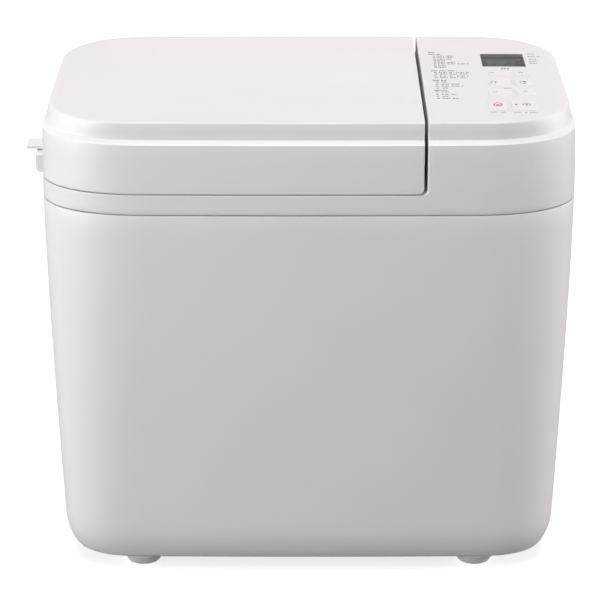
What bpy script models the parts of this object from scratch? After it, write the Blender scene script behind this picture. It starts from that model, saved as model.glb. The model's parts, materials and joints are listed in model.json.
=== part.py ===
"""Bread machine: a countertop automatic bread maker, built as an assembly.

A white moulded housing stands on four round feet.  A hinged lid covers the
baking chamber on the left, and a fixed control column stands at the right.
Inside are the bread pan with its kneading blade, the tube heater, the belt
drive with its motor, and the electronics.

Axes: X to the right, -Y to the front, Z up.  Sizes are in millimetres and
scaled to metres by MM.  Everything hangs from one empty, whose offset puts
the middle of the overall box, lid tab included, on the world origin.
"""

import math

import bmesh
import bpy
from mathutils import Matrix, Vector

MM = 0.001

# ---- driving dimensions, millimetres -------------------------------------
BODY_W = 390.0          # width of the band under the lid
BODY_D = 240.0          # depth of the band at its ends
CROWN = 2.5             # how far front and back bulge at the middle
HEIGHT = 362.0          # floor to the top of the keys
TAB_REACH = 213.0       # lid tab tip, left of the body's middle
BODY_X = (TAB_REACH - BODY_W / 2) / 2

WALL = 3.0              # moulded wall thickness
SKIN_GAP = 0.8          # seam between two mouldings
FIT = 0.35              # gap between pieces that touch
SUPERELLIPSE = 2.2      # fullness of the plan corners

BASE_Z = 9.0            # lower edge of the housing
HOUSING_SEAM_Z = 292.0
LID_SEAM_Z = 307.5
LEDGE_Z = 344.0         # outer edge of the sloped ledge
BAND_TOP_Z = 358.6
TOP_Z = 361.2
DEPTH_TAPER = 20.0 / 14.5   # front recedes this much for each mm of the sides

LID_RIGHT = 82.2        # right edge of the lid
COLUMN_LEFT = 84.7      # left wall of the control column
LID_FILLET = 4.0

HINGE_Y, HINGE_Z = 115.5, 315.0
LUG_R, PIN_R = 4.0, 1.4
LUG_W, LID_LUG_W, LUG_GAP = 12.0, 16.0, 0.5
HINGE_X = (-120.0, 20.0)

DRIVE_X = -50.0         # middle of the chamber, pan and drive shaft
MOTOR_X = 118.0
SHAFT_R, MOTOR_SHAFT_R = 4.0, 2.5
PULLEY_R, PINION_R = 45.0, 9.0

CHAMBER_HALF = (115.0, 90.0)
CHAMBER_FLOOR_Z, CHAMBER_TOP_Z = 100.0, 304.2
PAN_HALF = (95.0, 70.0)
PAN_BOTTOM_Z, PAN_TOP_Z = 125.0, 280.0
BAIL_Z, BAIL_ARM, BAIL_X, BAIL_R = 286.0, 66.0, 98.4, 1.75
HEATER_Z, HEATER_R = 118.0, 3.25
SENSOR_Z = 180.0
CHASSIS_Z = 40.0

KEY_TOP_Z = HEIGHT
KEY_GAP = 0.5
LCD_BOX = (132.0, 165.0, 23.5, 59.3)
TAB_Y = (-15.0, 5.0)    # lid tab on the left side
BOSS_Y = (-25.0, -3.0)  # rest under the tab
KEYS = {
    "key_menu_down": (135.0, 151.4, -2.0, 11.5),
    "key_menu_up": (154.0, 166.4, -2.0, 11.5),
    "key_size": (133.5, 150.6, -28.0, -11.5),
    "key_crust": (153.2, 166.2, -28.0, -11.5),
    "key_timer_down": (132.0, 149.8, -55.0, -38.0),
    "key_timer_up": (152.4, 166.0, -55.0, -38.0),
    "key_stop": (129.7, 143.0, -90.0, -68.0),
    "key_start": (146.4, 164.4, -90.0, -68.0),
}

# ---- scene ----------------------------------------------------------------
for item in list(bpy.data.objects):
    bpy.data.objects.remove(item, do_unlink=True)

PARTS = bpy.data.collections.new("bread_machine")
TOOLS = bpy.data.collections.new("cutters")
bpy.context.scene.collection.children.link(PARTS)
bpy.context.scene.collection.children.link(TOOLS)

MACHINE = bpy.data.objects.new("machine", None)
MACHINE.location = (BODY_X * MM, 0, 0)
PARTS.objects.link(MACHINE)

UPRIGHT = Matrix(((1, 0, 0), (0, 0, -1), (0, 1, 0))).to_4x4()    # outline in XZ
SIDEWAYS = Matrix(((0, 0, 1), (1, 0, 0), (0, 1, 0))).to_4x4()    # outline in YZ

# Finishes: colour, roughness, metallic.
WHITE = ((0.82, 0.81, 0.82), 0.35, 0.0)
GREY_PLASTIC = ((0.55, 0.55, 0.56), 0.5, 0.0)
RUBBER = ((0.35, 0.35, 0.36), 0.7, 0.0)
BLACK = ((0.03, 0.03, 0.03), 0.5, 0.0)
STEEL = ((0.62, 0.62, 0.63), 0.3, 1.0)
ALUMINIUM = ((0.75, 0.75, 0.76), 0.35, 1.0)
COATED = ((0.10, 0.10, 0.11), 0.45, 0.3)
BRASS = ((0.75, 0.58, 0.28), 0.3, 1.0)
BOARD = ((0.10, 0.28, 0.14), 0.5, 0.0)
SCREEN = ((0.30, 0.36, 0.32), 0.2, 0.0)


# ---- helpers --------------------------------------------------------------
def material(name, finish):
    """One Principled material, named after its piece."""
    colour, roughness, metallic = finish
    mat = bpy.data.materials.new(name)
    mat.use_nodes = True
    shader = mat.node_tree.nodes["Principled BSDF"]
    shader.inputs["Base Color"].default_value = (*colour, 1.0)
    shader.inputs["Roughness"].default_value = roughness
    shader.inputs["Metallic"].default_value = metallic
    mat.diffuse_color = (*colour, 1.0)
    return mat


def add(name, mesh, finish=None, origin=(0, 0, 0)):
    """Put a mesh built in body millimetres into the scene, with its own origin."""
    mesh.transform(Matrix.Translation(-Vector(origin)))
    mesh.transform(Matrix.Scale(MM, 4))
    obj = bpy.data.objects.new(name, mesh)
    obj.location = Vector(origin) * MM
    obj.parent = MACHINE
    if finish is None:
        TOOLS.objects.link(obj)
        obj.hide_render = True
        obj.display_type = "WIRE"
    else:
        PARTS.objects.link(obj)
        mesh.materials.append(material(name, finish))
        if mesh.polygons:
            mesh.shade_smooth()
            mesh.set_sharp_from_angle(angle=math.radians(32))
    return obj


def finish_mesh(name, bm):
    bmesh.ops.recalc_face_normals(bm, faces=bm.faces)
    mesh = bpy.data.meshes.new(name)
    bm.to_mesh(mesh)
    bm.free()
    return mesh


def boxes(name, spans, finish=None, origin=(0, 0, 0)):
    """One or more boxes, each given as (x0, x1, y0, y1, z0, z1)."""
    bm = bmesh.new()
    for x0, x1, y0, y1, z0, z1 in spans:
        middle = Matrix.Translation(((x0 + x1) / 2, (y0 + y1) / 2, (z0 + z1) / 2))
        size = Matrix.Diagonal((x1 - x0, y1 - y0, z1 - z0, 1))
        bmesh.ops.create_cube(bm, size=1.0, matrix=middle @ size)
    return add(name, finish_mesh(name, bm), finish, origin)


def cylinders(name, rods, finish=None, sides=24):
    """One or more cylinders, each (centre, radius, length, axis letter)."""
    turn = {"X": Matrix.Rotation(math.pi / 2, 4, "Y"),
            "Y": Matrix.Rotation(math.pi / 2, 4, "X"),
            "Z": Matrix.Identity(4)}
    bm = bmesh.new()
    for centre, radius, length, axis in rods:
        bmesh.ops.create_cone(bm, cap_ends=True, segments=sides, radius1=radius, radius2=radius,
                              depth=length, matrix=Matrix.Translation(centre) @ turn[axis])
    return add(name, finish_mesh(name, bm), finish)


def turned(name, profile, at, finish, steps=24, hollow=False, tilt=(0, 0, 0)):
    """A turned piece: (radius, height) points, top to bottom down the outside."""
    mesh = bpy.data.meshes.new(name)
    points = [(r * MM, 0, z * MM) for r, z in profile]
    edges = [(i, i + 1) for i in range(len(points) - 1)]
    if hollow:
        edges.append((len(points) - 1, 0))
    mesh.from_pydata(points, edges, [])
    obj = bpy.data.objects.new(name, mesh)
    obj.location = Vector(at) * MM
    obj.rotation_euler = tilt
    obj.parent = MACHINE
    PARTS.objects.link(obj)
    mesh.materials.append(material(name, finish))
    screw = obj.modifiers.new("turn", "SCREW")
    screw.steps = screw.render_steps = steps
    screw.use_merge_vertices = True
    screw.merge_threshold = 0.00001
    screw.use_smooth_shade = False
    return obj


def bush(name, inner, outer, z0, z1, at, finish, steps=24):
    """A plain ring about a vertical axis."""
    profile = [(inner, z1), (outer, z1), (outer, z0), (inner, z0)]
    return turned(name, profile, at, finish, steps, hollow=True)


def extruded(name, loops, thickness, matrix, finish=None, origin=(0, 0, 0)):
    """A flat outline, with optional holes, as a plate centred on its plane."""
    curve = bpy.data.curves.new(name, "CURVE")
    curve.dimensions = "2D"
    curve.fill_mode = "BOTH"
    curve.extrude = thickness / 2
    for loop in loops:
        spline = curve.splines.new("POLY")
        spline.points.add(len(loop) - 1)
        for point, (u, v) in zip(spline.points, loop):
            point.co = (u, v, 0, 1)
        spline.use_cyclic_u = True
    mesh = curve_to_mesh(name, curve)
    mesh.transform(matrix)
    return add(name, mesh, finish, origin)


def tube(name, points, radius, finish, origin=(0, 0, 0)):
    """A round wire or tube along a list of points, with closed ends."""
    curve = bpy.data.curves.new(name, "CURVE")
    curve.dimensions = "3D"
    curve.bevel_depth = radius
    curve.bevel_resolution = 2
    curve.use_fill_caps = True
    spline = curve.splines.new("POLY")
    spline.points.add(len(points) - 1)
    for point, place in zip(spline.points, points):
        point.co = (*place, 1)
    return add(name, curve_to_mesh(name, curve), finish, origin)


def curve_to_mesh(name, curve):
    """Evaluate a curve into one closed mesh and drop the curve."""
    holder = bpy.data.objects.new(name + "_curve", curve)
    bpy.context.scene.collection.objects.link(holder)
    graph = bpy.context.evaluated_depsgraph_get()
    raw = bpy.data.meshes.new_from_object(holder.evaluated_get(graph))
    bpy.data.objects.remove(holder, do_unlink=True)
    bpy.data.curves.remove(curve)
    bm = bmesh.new()
    bm.from_mesh(raw)
    bpy.data.meshes.remove(raw)
    bmesh.ops.remove_doubles(bm, verts=bm.verts, dist=0.0001)
    return finish_mesh(name, bm)


def loft(name, rings, finish=None, closed=False, origin=(0, 0, 0)):
    """Skin a stack of equal-count rings; the ends are capped unless it closes on itself."""
    bm = bmesh.new()
    rows = [[bm.verts.new(p) for p in ring] for ring in rings]
    count = len(rows[0])
    last = len(rows) if closed else len(rows) - 1
    for i in range(last):
        low, high = rows[i], rows[(i + 1) % len(rows)]
        for j in range(count):
            k = (j + 1) % count
            bm.faces.new((low[j], low[k], high[k], high[j]))
    if not closed:
        bm.faces.new(rows[0][::-1])
        bm.faces.new(rows[-1])
    return add(name, finish_mesh(name, bm), finish, origin)


def boolean(obj, tool, operation="DIFFERENCE"):
    step = obj.modifiers.new(tool.name, "BOOLEAN")
    step.operation = operation
    step.solver = "EXACT"
    step.object = tool


def power(value, exponent):
    return math.copysign(abs(value) ** exponent, value)


def plan_ring(z, x0, x1, y0, y1, corners, steps=5, edge=3, bulge=0.0, fullness=2.0):
    """Rounded rectangle at height z, counter-clockwise from its front right corner.

    corners gives (radius_x, radius_y) for the left and for the right side.
    """
    (left_rx, left_ry), (right_rx, right_ry) = corners
    middle_y, half_d, half_w = (y0 + y1) / 2, (y1 - y0) / 2, BODY_W / 2
    spec = ((x1 - right_rx, y0 + right_ry, right_rx, right_ry, -90),
            (x1 - right_rx, y1 - right_ry, right_rx, right_ry, 0),
            (x0 + left_rx, y1 - left_ry, left_rx, left_ry, 90),
            (x0 + left_rx, y0 + left_ry, left_rx, left_ry, 180))
    runs = []
    for cx, cy, rx, ry, start in spec:
        run = []
        for i in range(steps + 1):
            a = math.radians(start + 90 * i / steps)
            run.append((cx + rx * power(math.cos(a), 2 / fullness),
                        cy + ry * power(math.sin(a), 2 / fullness)))
        runs.append(run)
    points = runs[0] + runs[1]
    points += between(runs[1][-1], runs[2][0], edge)
    points += runs[2] + runs[3]
    points += between(runs[3][-1], runs[0][0], edge)
    ring = []
    for x, y in points:
        reach = min(1.0, abs(y - middle_y) / (half_d / 2))
        ring.append((x, y + power(y - middle_y, 0) * bulge * (1 - (x / half_w) ** 2) * reach, z))
    return ring


def between(a, b, count):
    """Points evenly spaced strictly between a and b."""
    steps = [i / (count + 1) for i in range(1, count + 1)]
    return [(a[0] + (b[0] - a[0]) * t, a[1] + (b[1] - a[1]) * t) for t in steps]


def body_ring(z, inset, corner, left=None, right=None, inset_y=None):
    """The machine's plan outline at height z, cut straight at left or right if given."""
    half_w = BODY_W / 2 - inset
    half_d = BODY_D / 2 - (inset if inset_y is None else inset_y)
    small = (1.2, 1.2)
    x0 = -half_w if left is None else left
    x1 = half_w if right is None else right
    corners = (corner if left is None else small, corner if right is None else small)
    return plan_ring(z, x0, x1, -half_d, half_d, corners, bulge=CROWN, fullness=SUPERELLIPSE)


def tub_ring(z, half, radius, middle=DRIVE_X):
    """A rounded rectangle about the chamber's middle."""
    hx, hy = half
    return plan_ring(z, middle - hx, middle + hx, -hy, hy, ((radius, radius),) * 2)


def key_ring(z, span, grow, radius):
    """A small rounded rectangle for keys and cut-outs."""
    x0, x1, y0, y1 = span
    corners = ((radius, radius),) * 2
    return plan_ring(z, x0 - grow, x1 + grow, y0 - grow, y1 + grow, corners, steps=2, edge=0)


def arc(cx, cy, radius, start, stop, steps):
    """Points along an arc, angles in degrees."""
    angles = [math.radians(start + (stop - start) * i / steps) for i in range(steps + 1)]
    return [(cx + radius * math.cos(a), cy + radius * math.sin(a)) for a in angles]


# ---- outer form -----------------------------------------------------------
# (height, side inset) down the lower housing; its bottom edge rolls in.
LOWER_STATIONS = ((BASE_Z, 14.5), (12, 13.0), (21, 10.4), (38, 8.0), (55, 7.0),
                  (124, 4.5), (206, 1.1), (HOUSING_SEAM_Z - SKIN_GAP / 2, 0.0))
SEAM_CORNER, BASE_CORNER, TOP_CORNER = (75.0, 53.0), (48.0, 39.0), (62.5, 63.7)
# (height, side inset, front and rear inset, blend from the seam's corner to the top's)
UPPER_STATIONS = ((LEDGE_Z, 1.0, 1.1, 0.1), (346, 2.6, 4.5, 0.3), (BAND_TOP_Z, 5.6, 5.8, 1.0),
                  (359.8, 6.6, 6.6, 1.0), (360.5, 9.0, 9.0, 1.0), (361, 16.0, 16.0, 1.0),
                  (TOP_Z, 28.0, 28.0, 1.0))


def mix(a, b, t):
    return tuple(p + (q - p) * t for p, q in zip(a, b))


def lower_ring(z, inset, thickness=0.0):
    t = (HOUSING_SEAM_Z - z) / (HOUSING_SEAM_Z - BASE_Z)
    corner = mix(SEAM_CORNER, BASE_CORNER, max(0.0, t))
    corner = tuple(c - thickness for c in corner)
    return body_ring(z, inset + thickness, corner, inset_y=inset * DEPTH_TAPER + thickness)


def upper_corner(inset, blend, thickness=0.0):
    shrink = max(0.0, inset - 5.6) + thickness
    return tuple(c - shrink for c in mix(SEAM_CORNER, TOP_CORNER, blend))


def upper_rings(left=None, right=None, thickness=0.0, rounding=0.0):
    """Rings of the ledge, the upper band and the pillowed top."""
    rings = []
    for z, inset, inset_y, blend in UPPER_STATIONS:
        ease = rounding * max(0.0, (z - BAND_TOP_Z) / (TOP_Z - BAND_TOP_Z)) ** 2
        rings.append(body_ring(z - thickness, inset + thickness, upper_corner(inset, blend, thickness),
                               left=None if left is None else left + ease,
                               right=None if right is None else right - ease,
                               inset_y=inset_y + thickness))
    return rings


# ---- housing --------------------------------------------------------------
SCREW_PLACES = [(sx * 166.0, sy * 56.0) for sx in (-1, 1) for sy in (-1, 1)]
FOOT_PLACES = [(sx * 127.0, sy * 84.0) for sx in (-1, 1) for sy in (-1, 1)]
CORNER_NAMES = ("front_left", "rear_left", "front_right", "rear_right")
GLAND_X, GLAND_Z = 110.0, 45.0


def make_lower_housing():
    outer = [lower_ring(z, inset) for z, inset in LOWER_STATIONS]
    inside = ((HOUSING_SEAM_Z - SKIN_GAP / 2, 0.0), (206, 1.1), (124, 4.5), (55, 7.0), (BASE_Z, 14.5))
    inner = [lower_ring(z, inset, WALL) for z, inset in inside]
    housing = loft("lower_housing", outer + inner, WHITE, closed=True)
    bosses = [(min(x, x + math.copysign(22, x)) - 4, max(x, x + math.copysign(22, x)) + 4,
               y - 4, y + 4, 14, 27) for x, y in SCREW_PLACES]
    bosses = [(max(a, -181), min(b, 181), c, d, e, f) for a, b, c, d, e, f in bosses]
    boolean(housing, boxes("screw_bosses", bosses), "UNION")
    holes = [((x, y, 14), 2.0, 20, "Z") for x, y in SCREW_PLACES]
    boolean(housing, cylinders("screw_holes", holes, sides=12))
    boolean(housing, cylinders("gland_hole", [((GLAND_X, 110, GLAND_Z), 7.5, 40, "Y")]))


def make_base():
    outline = lower_ring(BASE_Z, 14.5, WALL + 0.4)
    rings = [[(x, y, z) for x, y, _ in outline] for z in (BASE_Z, BASE_Z + 3)]
    plate = loft("base_plate", rings, WHITE)
    slots = [(x - 20, x + 20, y - 2, y + 2, 5, 20)
             for x in (-25, 25, 75) for y in (-60, -50, 50, 60)]
    boolean(plate, boxes("base_vents", slots))
    holes = [((x, y, 10), 2.0, 20, "Z") for x, y in SCREW_PLACES]
    boolean(plate, cylinders("plate_holes", holes, sides=12))
    for corner, (x, y) in zip(CORNER_NAMES, FOOT_PLACES):
        profile = ((0, 8.6), (16.4, 8.6), (17, 8), (13, 1), (12, 0), (0, 0))
        turned("foot_" + corner, profile, (x, y, 0), RUBBER, 16)
    for corner, (x, y) in zip(CORNER_NAMES, SCREW_PLACES):
        profile = ((0, 24), (1.6, 24), (1.6, 8.6), (3.6, 8.6), (3.2, 7), (0, 7))
        turned("base_screw_" + corner, profile, (x, y, 0), STEEL, 12)
    gland = ((7.1, 0), (7.1, 14), (10.5, 14), (10, 16.6), (3.5, 16.6), (3.5, 0))
    turned("cord_gland", gland[::-1], (GLAND_X, 98.5, GLAND_Z), BLACK, 20, hollow=True,
           tilt=(-math.pi / 2, 0, 0))


def lug_outline(low, high):
    """A hinge lug in YZ: round about the hinge line, straight to the low or high end."""
    if low is not None:
        round_end = arc(HINGE_Y, HINGE_Z, LUG_R, 0, 180, 8)
        return round_end + [(HINGE_Y - LUG_R, low), (HINGE_Y + LUG_R, low)]
    round_end = arc(HINGE_Y, HINGE_Z, LUG_R, 180, 360, 8)
    return round_end + [(HINGE_Y + LUG_R, high), (HINGE_Y - LUG_R, high)]


def frame_lug_places():
    reach = (LID_LUG_W + LUG_W) / 2 + LUG_GAP
    return [x + side * reach for x in HINGE_X for side in (-1, 1)]


def make_upper_housing():
    rings = [body_ring(HOUSING_SEAM_Z + SKIN_GAP / 2, 0, SEAM_CORNER),
             body_ring(LID_SEAM_Z, 0, SEAM_CORNER)] + upper_rings()
    housing = loft("upper_housing", rings, WHITE)
    deck = LID_SEAM_Z - SKIN_GAP / 2
    corner = arc(COLUMN_LEFT - LID_FILLET, deck + LID_FILLET, LID_FILLET, -90, 0, 5)
    space = [(-240, deck)] + corner + [(COLUMN_LEFT, 390), (-240, 390)]
    boolean(housing, extruded("lid_space", [space], 300, UPRIGHT))
    band = [body_ring(z, WALL, tuple(c - WALL for c in SEAM_CORNER)) for z in (286, deck - 2.5)]
    boolean(housing, loft("band_hollow", band))
    wall = COLUMN_LEFT + 2.5
    column = [body_ring(deck - 3, WALL, tuple(c - WALL for c in SEAM_CORNER), left=wall)]
    column += upper_rings(left=wall, thickness=2.4)
    boolean(housing, loft("column_hollow", column))
    opening = [tub_ring(z, (CHAMBER_HALF[0] - 1, CHAMBER_HALF[1] - 1), 24) for z in (298, 312)]
    boolean(housing, loft("chamber_opening", opening))
    boolean(housing, panel_cutter())
    boss = [(-193.5, 292.6), (-193.5, 306.6), (-205.4, 306.6), (-205.4, 298)]
    boss += [(-203.2, 294.4), (-199, 292.6)]
    boolean(housing, side_plate("tab_boss", boss, BOSS_Y), "UNION")
    for i, x in enumerate(frame_lug_places()):
        lug = extruded("frame_lug_%d" % i, [lug_outline(deck - 1.5, None)], LUG_W,
                       Matrix.Translation((x, 0, 0)) @ SIDEWAYS)
        boolean(housing, lug, "UNION")
    boolean(housing, hinge_hole())


def side_plate(name, outline, span):
    """An XZ outline, pushed along Y over a span."""
    middle = Matrix.Translation((0, (span[0] + span[1]) / 2, 0))
    return extruded(name, [outline], span[1] - span[0], middle @ UPRIGHT)


def panel_cutter():
    """The display window and the eight key openings in the column's top."""
    bm = bmesh.new()
    for span in list(KEYS.values()) + [LCD_BOX]:
        grow = KEY_GAP if span != LCD_BOX else 0.0
        rows = [[bm.verts.new(p) for p in key_ring(z, span, grow, 2.0)] for z in (354, 368)]
        count = len(rows[0])
        for j in range(count):
            k = (j + 1) % count
            bm.faces.new((rows[0][j], rows[0][k], rows[1][k], rows[1][j]))
        bm.faces.new(rows[0][::-1])
        bm.faces.new(rows[1])
    return add("panel_openings", finish_mesh("panel_openings", bm))


def hinge_hole():
    span = 2 * LUG_W + LID_LUG_W + 12
    rods = [((x, HINGE_Y, HINGE_Z), PIN_R + FIT, span, "X") for x in HINGE_X]
    return cylinders("hinge_holes", rods, sides=16)


# ---- lid ------------------------------------------------------------------
def make_lid():
    bottom = LID_SEAM_Z + SKIN_GAP / 2
    # (height above the bottom edge, how far the right edge is rolled in)
    roll = [(LID_FILLET * (1 - math.cos(math.radians(a))), LID_FILLET * (1 - math.sin(math.radians(a))))
            for a in (0, 35, 65, 90)]
    outer = [body_ring(bottom + rise, 0, SEAM_CORNER, right=LID_RIGHT - ease) for rise, ease in roll]
    outer += upper_rings(right=LID_RIGHT, rounding=1.6)
    inside = upper_rings(right=LID_RIGHT - WALL, thickness=WALL)[2::-1]
    thin = tuple(c - WALL for c in SEAM_CORNER)
    inside += [body_ring(bottom + rise, WALL, thin, right=LID_RIGHT - WALL - ease)
               for rise, ease in roll[::-1]]
    lid = loft("lid_cover", inside + outer, WHITE, origin=(DRIVE_X, HINGE_Y, HINGE_Z))
    boolean(lid, boxes("hinge_clearance", [(-181, 90, 109.5, 132, 300, HINGE_Z + 0.5)]))
    half = LUG_W / 2 + 0.6
    notches = [(x - half, x + half, 108.5, 132, 300, HINGE_Z + 5.4) for x in frame_lug_places()]
    boolean(lid, boxes("hinge_notches", notches))
    tab = [(-213, 307.9), (-193.5, 307.9), (-193.5, 310.7), (-212, 310.7), (-213, 309.8)]
    boolean(lid, side_plate("lid_tab", tab, TAB_Y), "UNION")
    for i, x in enumerate(HINGE_X):
        lug = extruded("lid_lug_%d" % i, [lug_outline(None, HINGE_Z + 9)], LID_LUG_W,
                       Matrix.Translation((x, 0, 0)) @ SIDEWAYS)
        boolean(lid, lug, "UNION")
    boolean(lid, hinge_hole())
    length = 2 * LUG_W + LID_LUG_W + 2
    for side, x in zip(("left", "right"), HINGE_X):
        rod = [((x, HINGE_Y, HINGE_Z), PIN_R, length, "X")]
        cylinders("hinge_pin_" + side, rod, STEEL, sides=12)


def make_lid_liner():
    low = LID_SEAM_Z + 2.2
    flange = tuple(c - WALL - 0.6 for c in SEAM_CORNER)
    rim = [body_ring(z, WALL + 0.6, flange, right=73.0) for z in (low, low + 1.6)]
    rings = [tub_ring(340, (107, 80), 20), tub_ring(low, (112, 86), 24), rim[0], rim[1],
             tub_ring(low + 1.6, (113.5, 87.5), 25.5), tub_ring(341.5, (108.5, 81.5), 21.5)]
    liner = loft("lid_liner", rings, ALUMINIUM, origin=(DRIVE_X, HINGE_Y, HINGE_Z))
    boolean(liner, boxes("liner_clearance", [(-200, 90, 107.5, 132, 300, 330)]))


# ---- baking chamber -------------------------------------------------------
def tub_rings(half, bottom, top, radius, sheet, roll, taper=0.0, flange=0.0):
    """Outside up, over the flange, and down the inside of an open-topped tub."""
    hx, hy = half
    rings = []
    for drop, rise in ((roll, 0.0), (roll * 0.3, roll * 0.3), (0.0, roll)):
        size = (hx + sheet - drop - taper, hy + sheet - drop - taper)
        rings.append(tub_ring(bottom - sheet + rise, size, radius + sheet - drop * 0.5))
    edge = (hx + sheet, hy + sheet)
    rings.append(tub_ring(top - sheet * 1.4, edge, radius + sheet))
    wide = (edge[0] + flange, edge[1] + flange)
    rings.append(tub_ring(top - sheet * 1.4, wide, radius + sheet + flange))
    rings.append(tub_ring(top, wide, radius + sheet + flange))
    rings.append(tub_ring(top, half, radius))
    for drop, rise in ((0.0, roll), (roll * 0.3, roll * 0.3), (roll, 0.0)):
        size = (hx - drop - taper, hy - drop - taper)
        rings.append(tub_ring(bottom + rise, size, radius - drop * 0.5))
    return rings


def make_chamber():
    rings = tub_rings(CHAMBER_HALF, CHAMBER_FLOOR_Z, CHAMBER_TOP_Z, 25, 1.0, 5.0, flange=6.0)
    chamber = loft("baking_chamber", rings, ALUMINIUM)
    wall = DRIVE_X + CHAMBER_HALF[0]
    holes = [((DRIVE_X, 0, CHAMBER_FLOOR_Z), 8.0, 20, "Z"),
             ((wall, -11, HEATER_Z), HEATER_R + 0.8, 16, "X"),
             ((wall, 11, HEATER_Z), HEATER_R + 0.8, 16, "X"),
             ((wall, 0, SENSOR_Z), 4.4, 16, "X")]
    boolean(chamber, cylinders("chamber_holes", holes, sides=16))
    make_heater()
    make_sensor(wall)
    make_lock_ring()


def make_heater():
    """A tube heater round the chamber, its two legs leaving through the right wall."""
    hx, hy, corner, bend, leg = 103.0, 79.0, 30.0, 8.0, 11.0
    right, left = DRIVE_X + hx, DRIVE_X - hx
    path = [(right + 26, -leg)]
    path += arc(right + bend, -leg - bend, bend, 90, 180, 3)
    path += arc(right - corner, -hy + corner, corner, 0, -90, 5)
    path += arc(left + corner, -hy + corner, corner, -90, -180, 5)
    back = [(x, -y) for x, y in path[::-1]]
    tube("heater_element", [(x, y, HEATER_Z) for x, y in path + back], HEATER_R, STEEL)
    for name, side in (("front", -1), ("rear", 1)):
        wall_y = CHAMBER_HALF[1] - 0.4
        under = HEATER_Z - HEATER_R - 0.4
        outline = [(side * wall_y, under + 12), (side * wall_y, under - 1.4), (side * 74, under - 1.4),
                   (side * 74, under), (side * (wall_y - 1.4), under), (side * (wall_y - 1.4), under + 12)]
        extruded("heater_bracket_" + name, [outline], 12,
                 Matrix.Translation((DRIVE_X, 0, 0)) @ SIDEWAYS, STEEL)


def make_sensor(wall):
    """A sprung plunger that feels the side of the pan."""
    tip = DRIVE_X + PAN_HALF[0] + 1.4
    profile = ((0, wall + 16 - tip), (3.2, wall + 16 - tip), (3.2, wall + 6 - tip),
               (6.0, wall + 6 - tip), (6.0, wall + 4.6 - tip), (3.2, wall + 4.6 - tip),
               (3.2, 1.0), (2.2, 0), (0, 0))
    turned("temperature_sensor", profile, (tip, 0, SENSOR_Z), STEEL, 16, tilt=(0, math.pi / 2, 0))


def sector(inner, outer, middle, spread, steps=4):
    """An annular sector about the drive axis, in plan."""
    outside = arc(DRIVE_X, 0, outer, middle - spread / 2, middle + spread / 2, steps)
    inside = arc(DRIVE_X, 0, inner, middle + spread / 2, middle - spread / 2, steps)
    return outside + inside


def sectors(name, spec):
    """Several vertical prisms joined in one tool mesh: (outline, z0, z1)."""
    bm = bmesh.new()
    for outline, z0, z1 in spec:
        low = [bm.verts.new((x, y, z0)) for x, y in outline]
        high = [bm.verts.new((x, y, z1)) for x, y in outline]
        for j in range(len(outline)):
            k = (j + 1) % len(outline)
            bm.faces.new((low[j], low[k], high[k], high[j]))
        bm.faces.new(low[::-1])
        bm.faces.new(high)
    return add(name, finish_mesh(name, bm))


def make_lock_ring():
    """The bayonet socket on the chamber floor."""
    low = CHAMBER_FLOOR_Z + 0.4
    ring = bush("pan_lock_ring", 38.0, 42.0, low, low + 9, (DRIVE_X, 0, 0), ALUMINIUM, 24)
    lips = [(sector(34.0, 40.0, a, 30), low + 6.2, low + 8.6) for a in (0, 120, 240)]
    boolean(ring, sectors("lock_lips", lips), "UNION")


# ---- bread pan and blade --------------------------------------------------
def make_pan():
    at = (DRIVE_X, 0, 0)
    rings = tub_rings(PAN_HALF, PAN_BOTTOM_Z + 1.5, PAN_TOP_Z, 20, 1.5, 6.0, taper=3.0, flange=3.0)
    pan = loft("bread_pan", rings, COATED, origin=(DRIVE_X, 0, 0))
    boolean(pan, cylinders("pan_floor_hole", [((DRIVE_X, 0, PAN_BOTTOM_Z), 8.4, 20, "Z")]))
    ear_x = PAN_HALF[0] - 0.2
    for side in (-1, 1):
        outline = arc(0, BAIL_Z, 5, 0, 180, 8) + [(-7, 273), (7, 273)]
        hole = arc(0, BAIL_Z, BAIL_R + FIT, 0, 337.5, 15)
        ear = extruded("pan_ear_%d" % side, [outline, hole], 2.2,
                       Matrix.Translation((DRIVE_X + side * ear_x, 0, 0)) @ SIDEWAYS)
        boolean(pan, ear, "UNION")
    foot = ((8.4, PAN_BOTTOM_Z - FIT), (33, PAN_BOTTOM_Z - FIT), (33, 102), (29, 102), (29, 121),
            (8.4, 121))
    base = turned("pan_base", foot, at, ALUMINIUM, 24, hollow=True)
    lugs = [(sector(31.0, 37.0, a + 10, 9), 102.4, 105.4) for a in (0, 120, 240)]
    boolean(base, sectors("pan_lugs", lugs), "UNION")
    bush("pan_bearing", SHAFT_R + FIT, 8.0, 117.6, 127.4, at, BRASS, 16)
    bush("pan_seal", SHAFT_R + FIT, 7.4, 127.8, 129.8, at, RUBBER, 16)
    make_bail()


def make_bail():
    """The pan's wire handle, laid back over the rim, its ends through the ears."""
    bend = 6.0
    corner = [(BAIL_X - bend + bend * math.sin(math.radians(a)),
               BAIL_ARM - bend + bend * math.cos(math.radians(a))) for a in (90, 60, 30, 0)]
    half = [(PAN_HALF[0] - 3.5, 0), (BAIL_X - 1.2, 0), (BAIL_X, 1.2)] + corner
    other = [(-x, y) for x, y in half[::-1]]
    path = [(DRIVE_X + x, y, BAIL_Z) for x, y in half + other]
    tube("pan_bail", path, BAIL_R, STEEL, origin=(DRIVE_X, 0, BAIL_Z))


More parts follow.
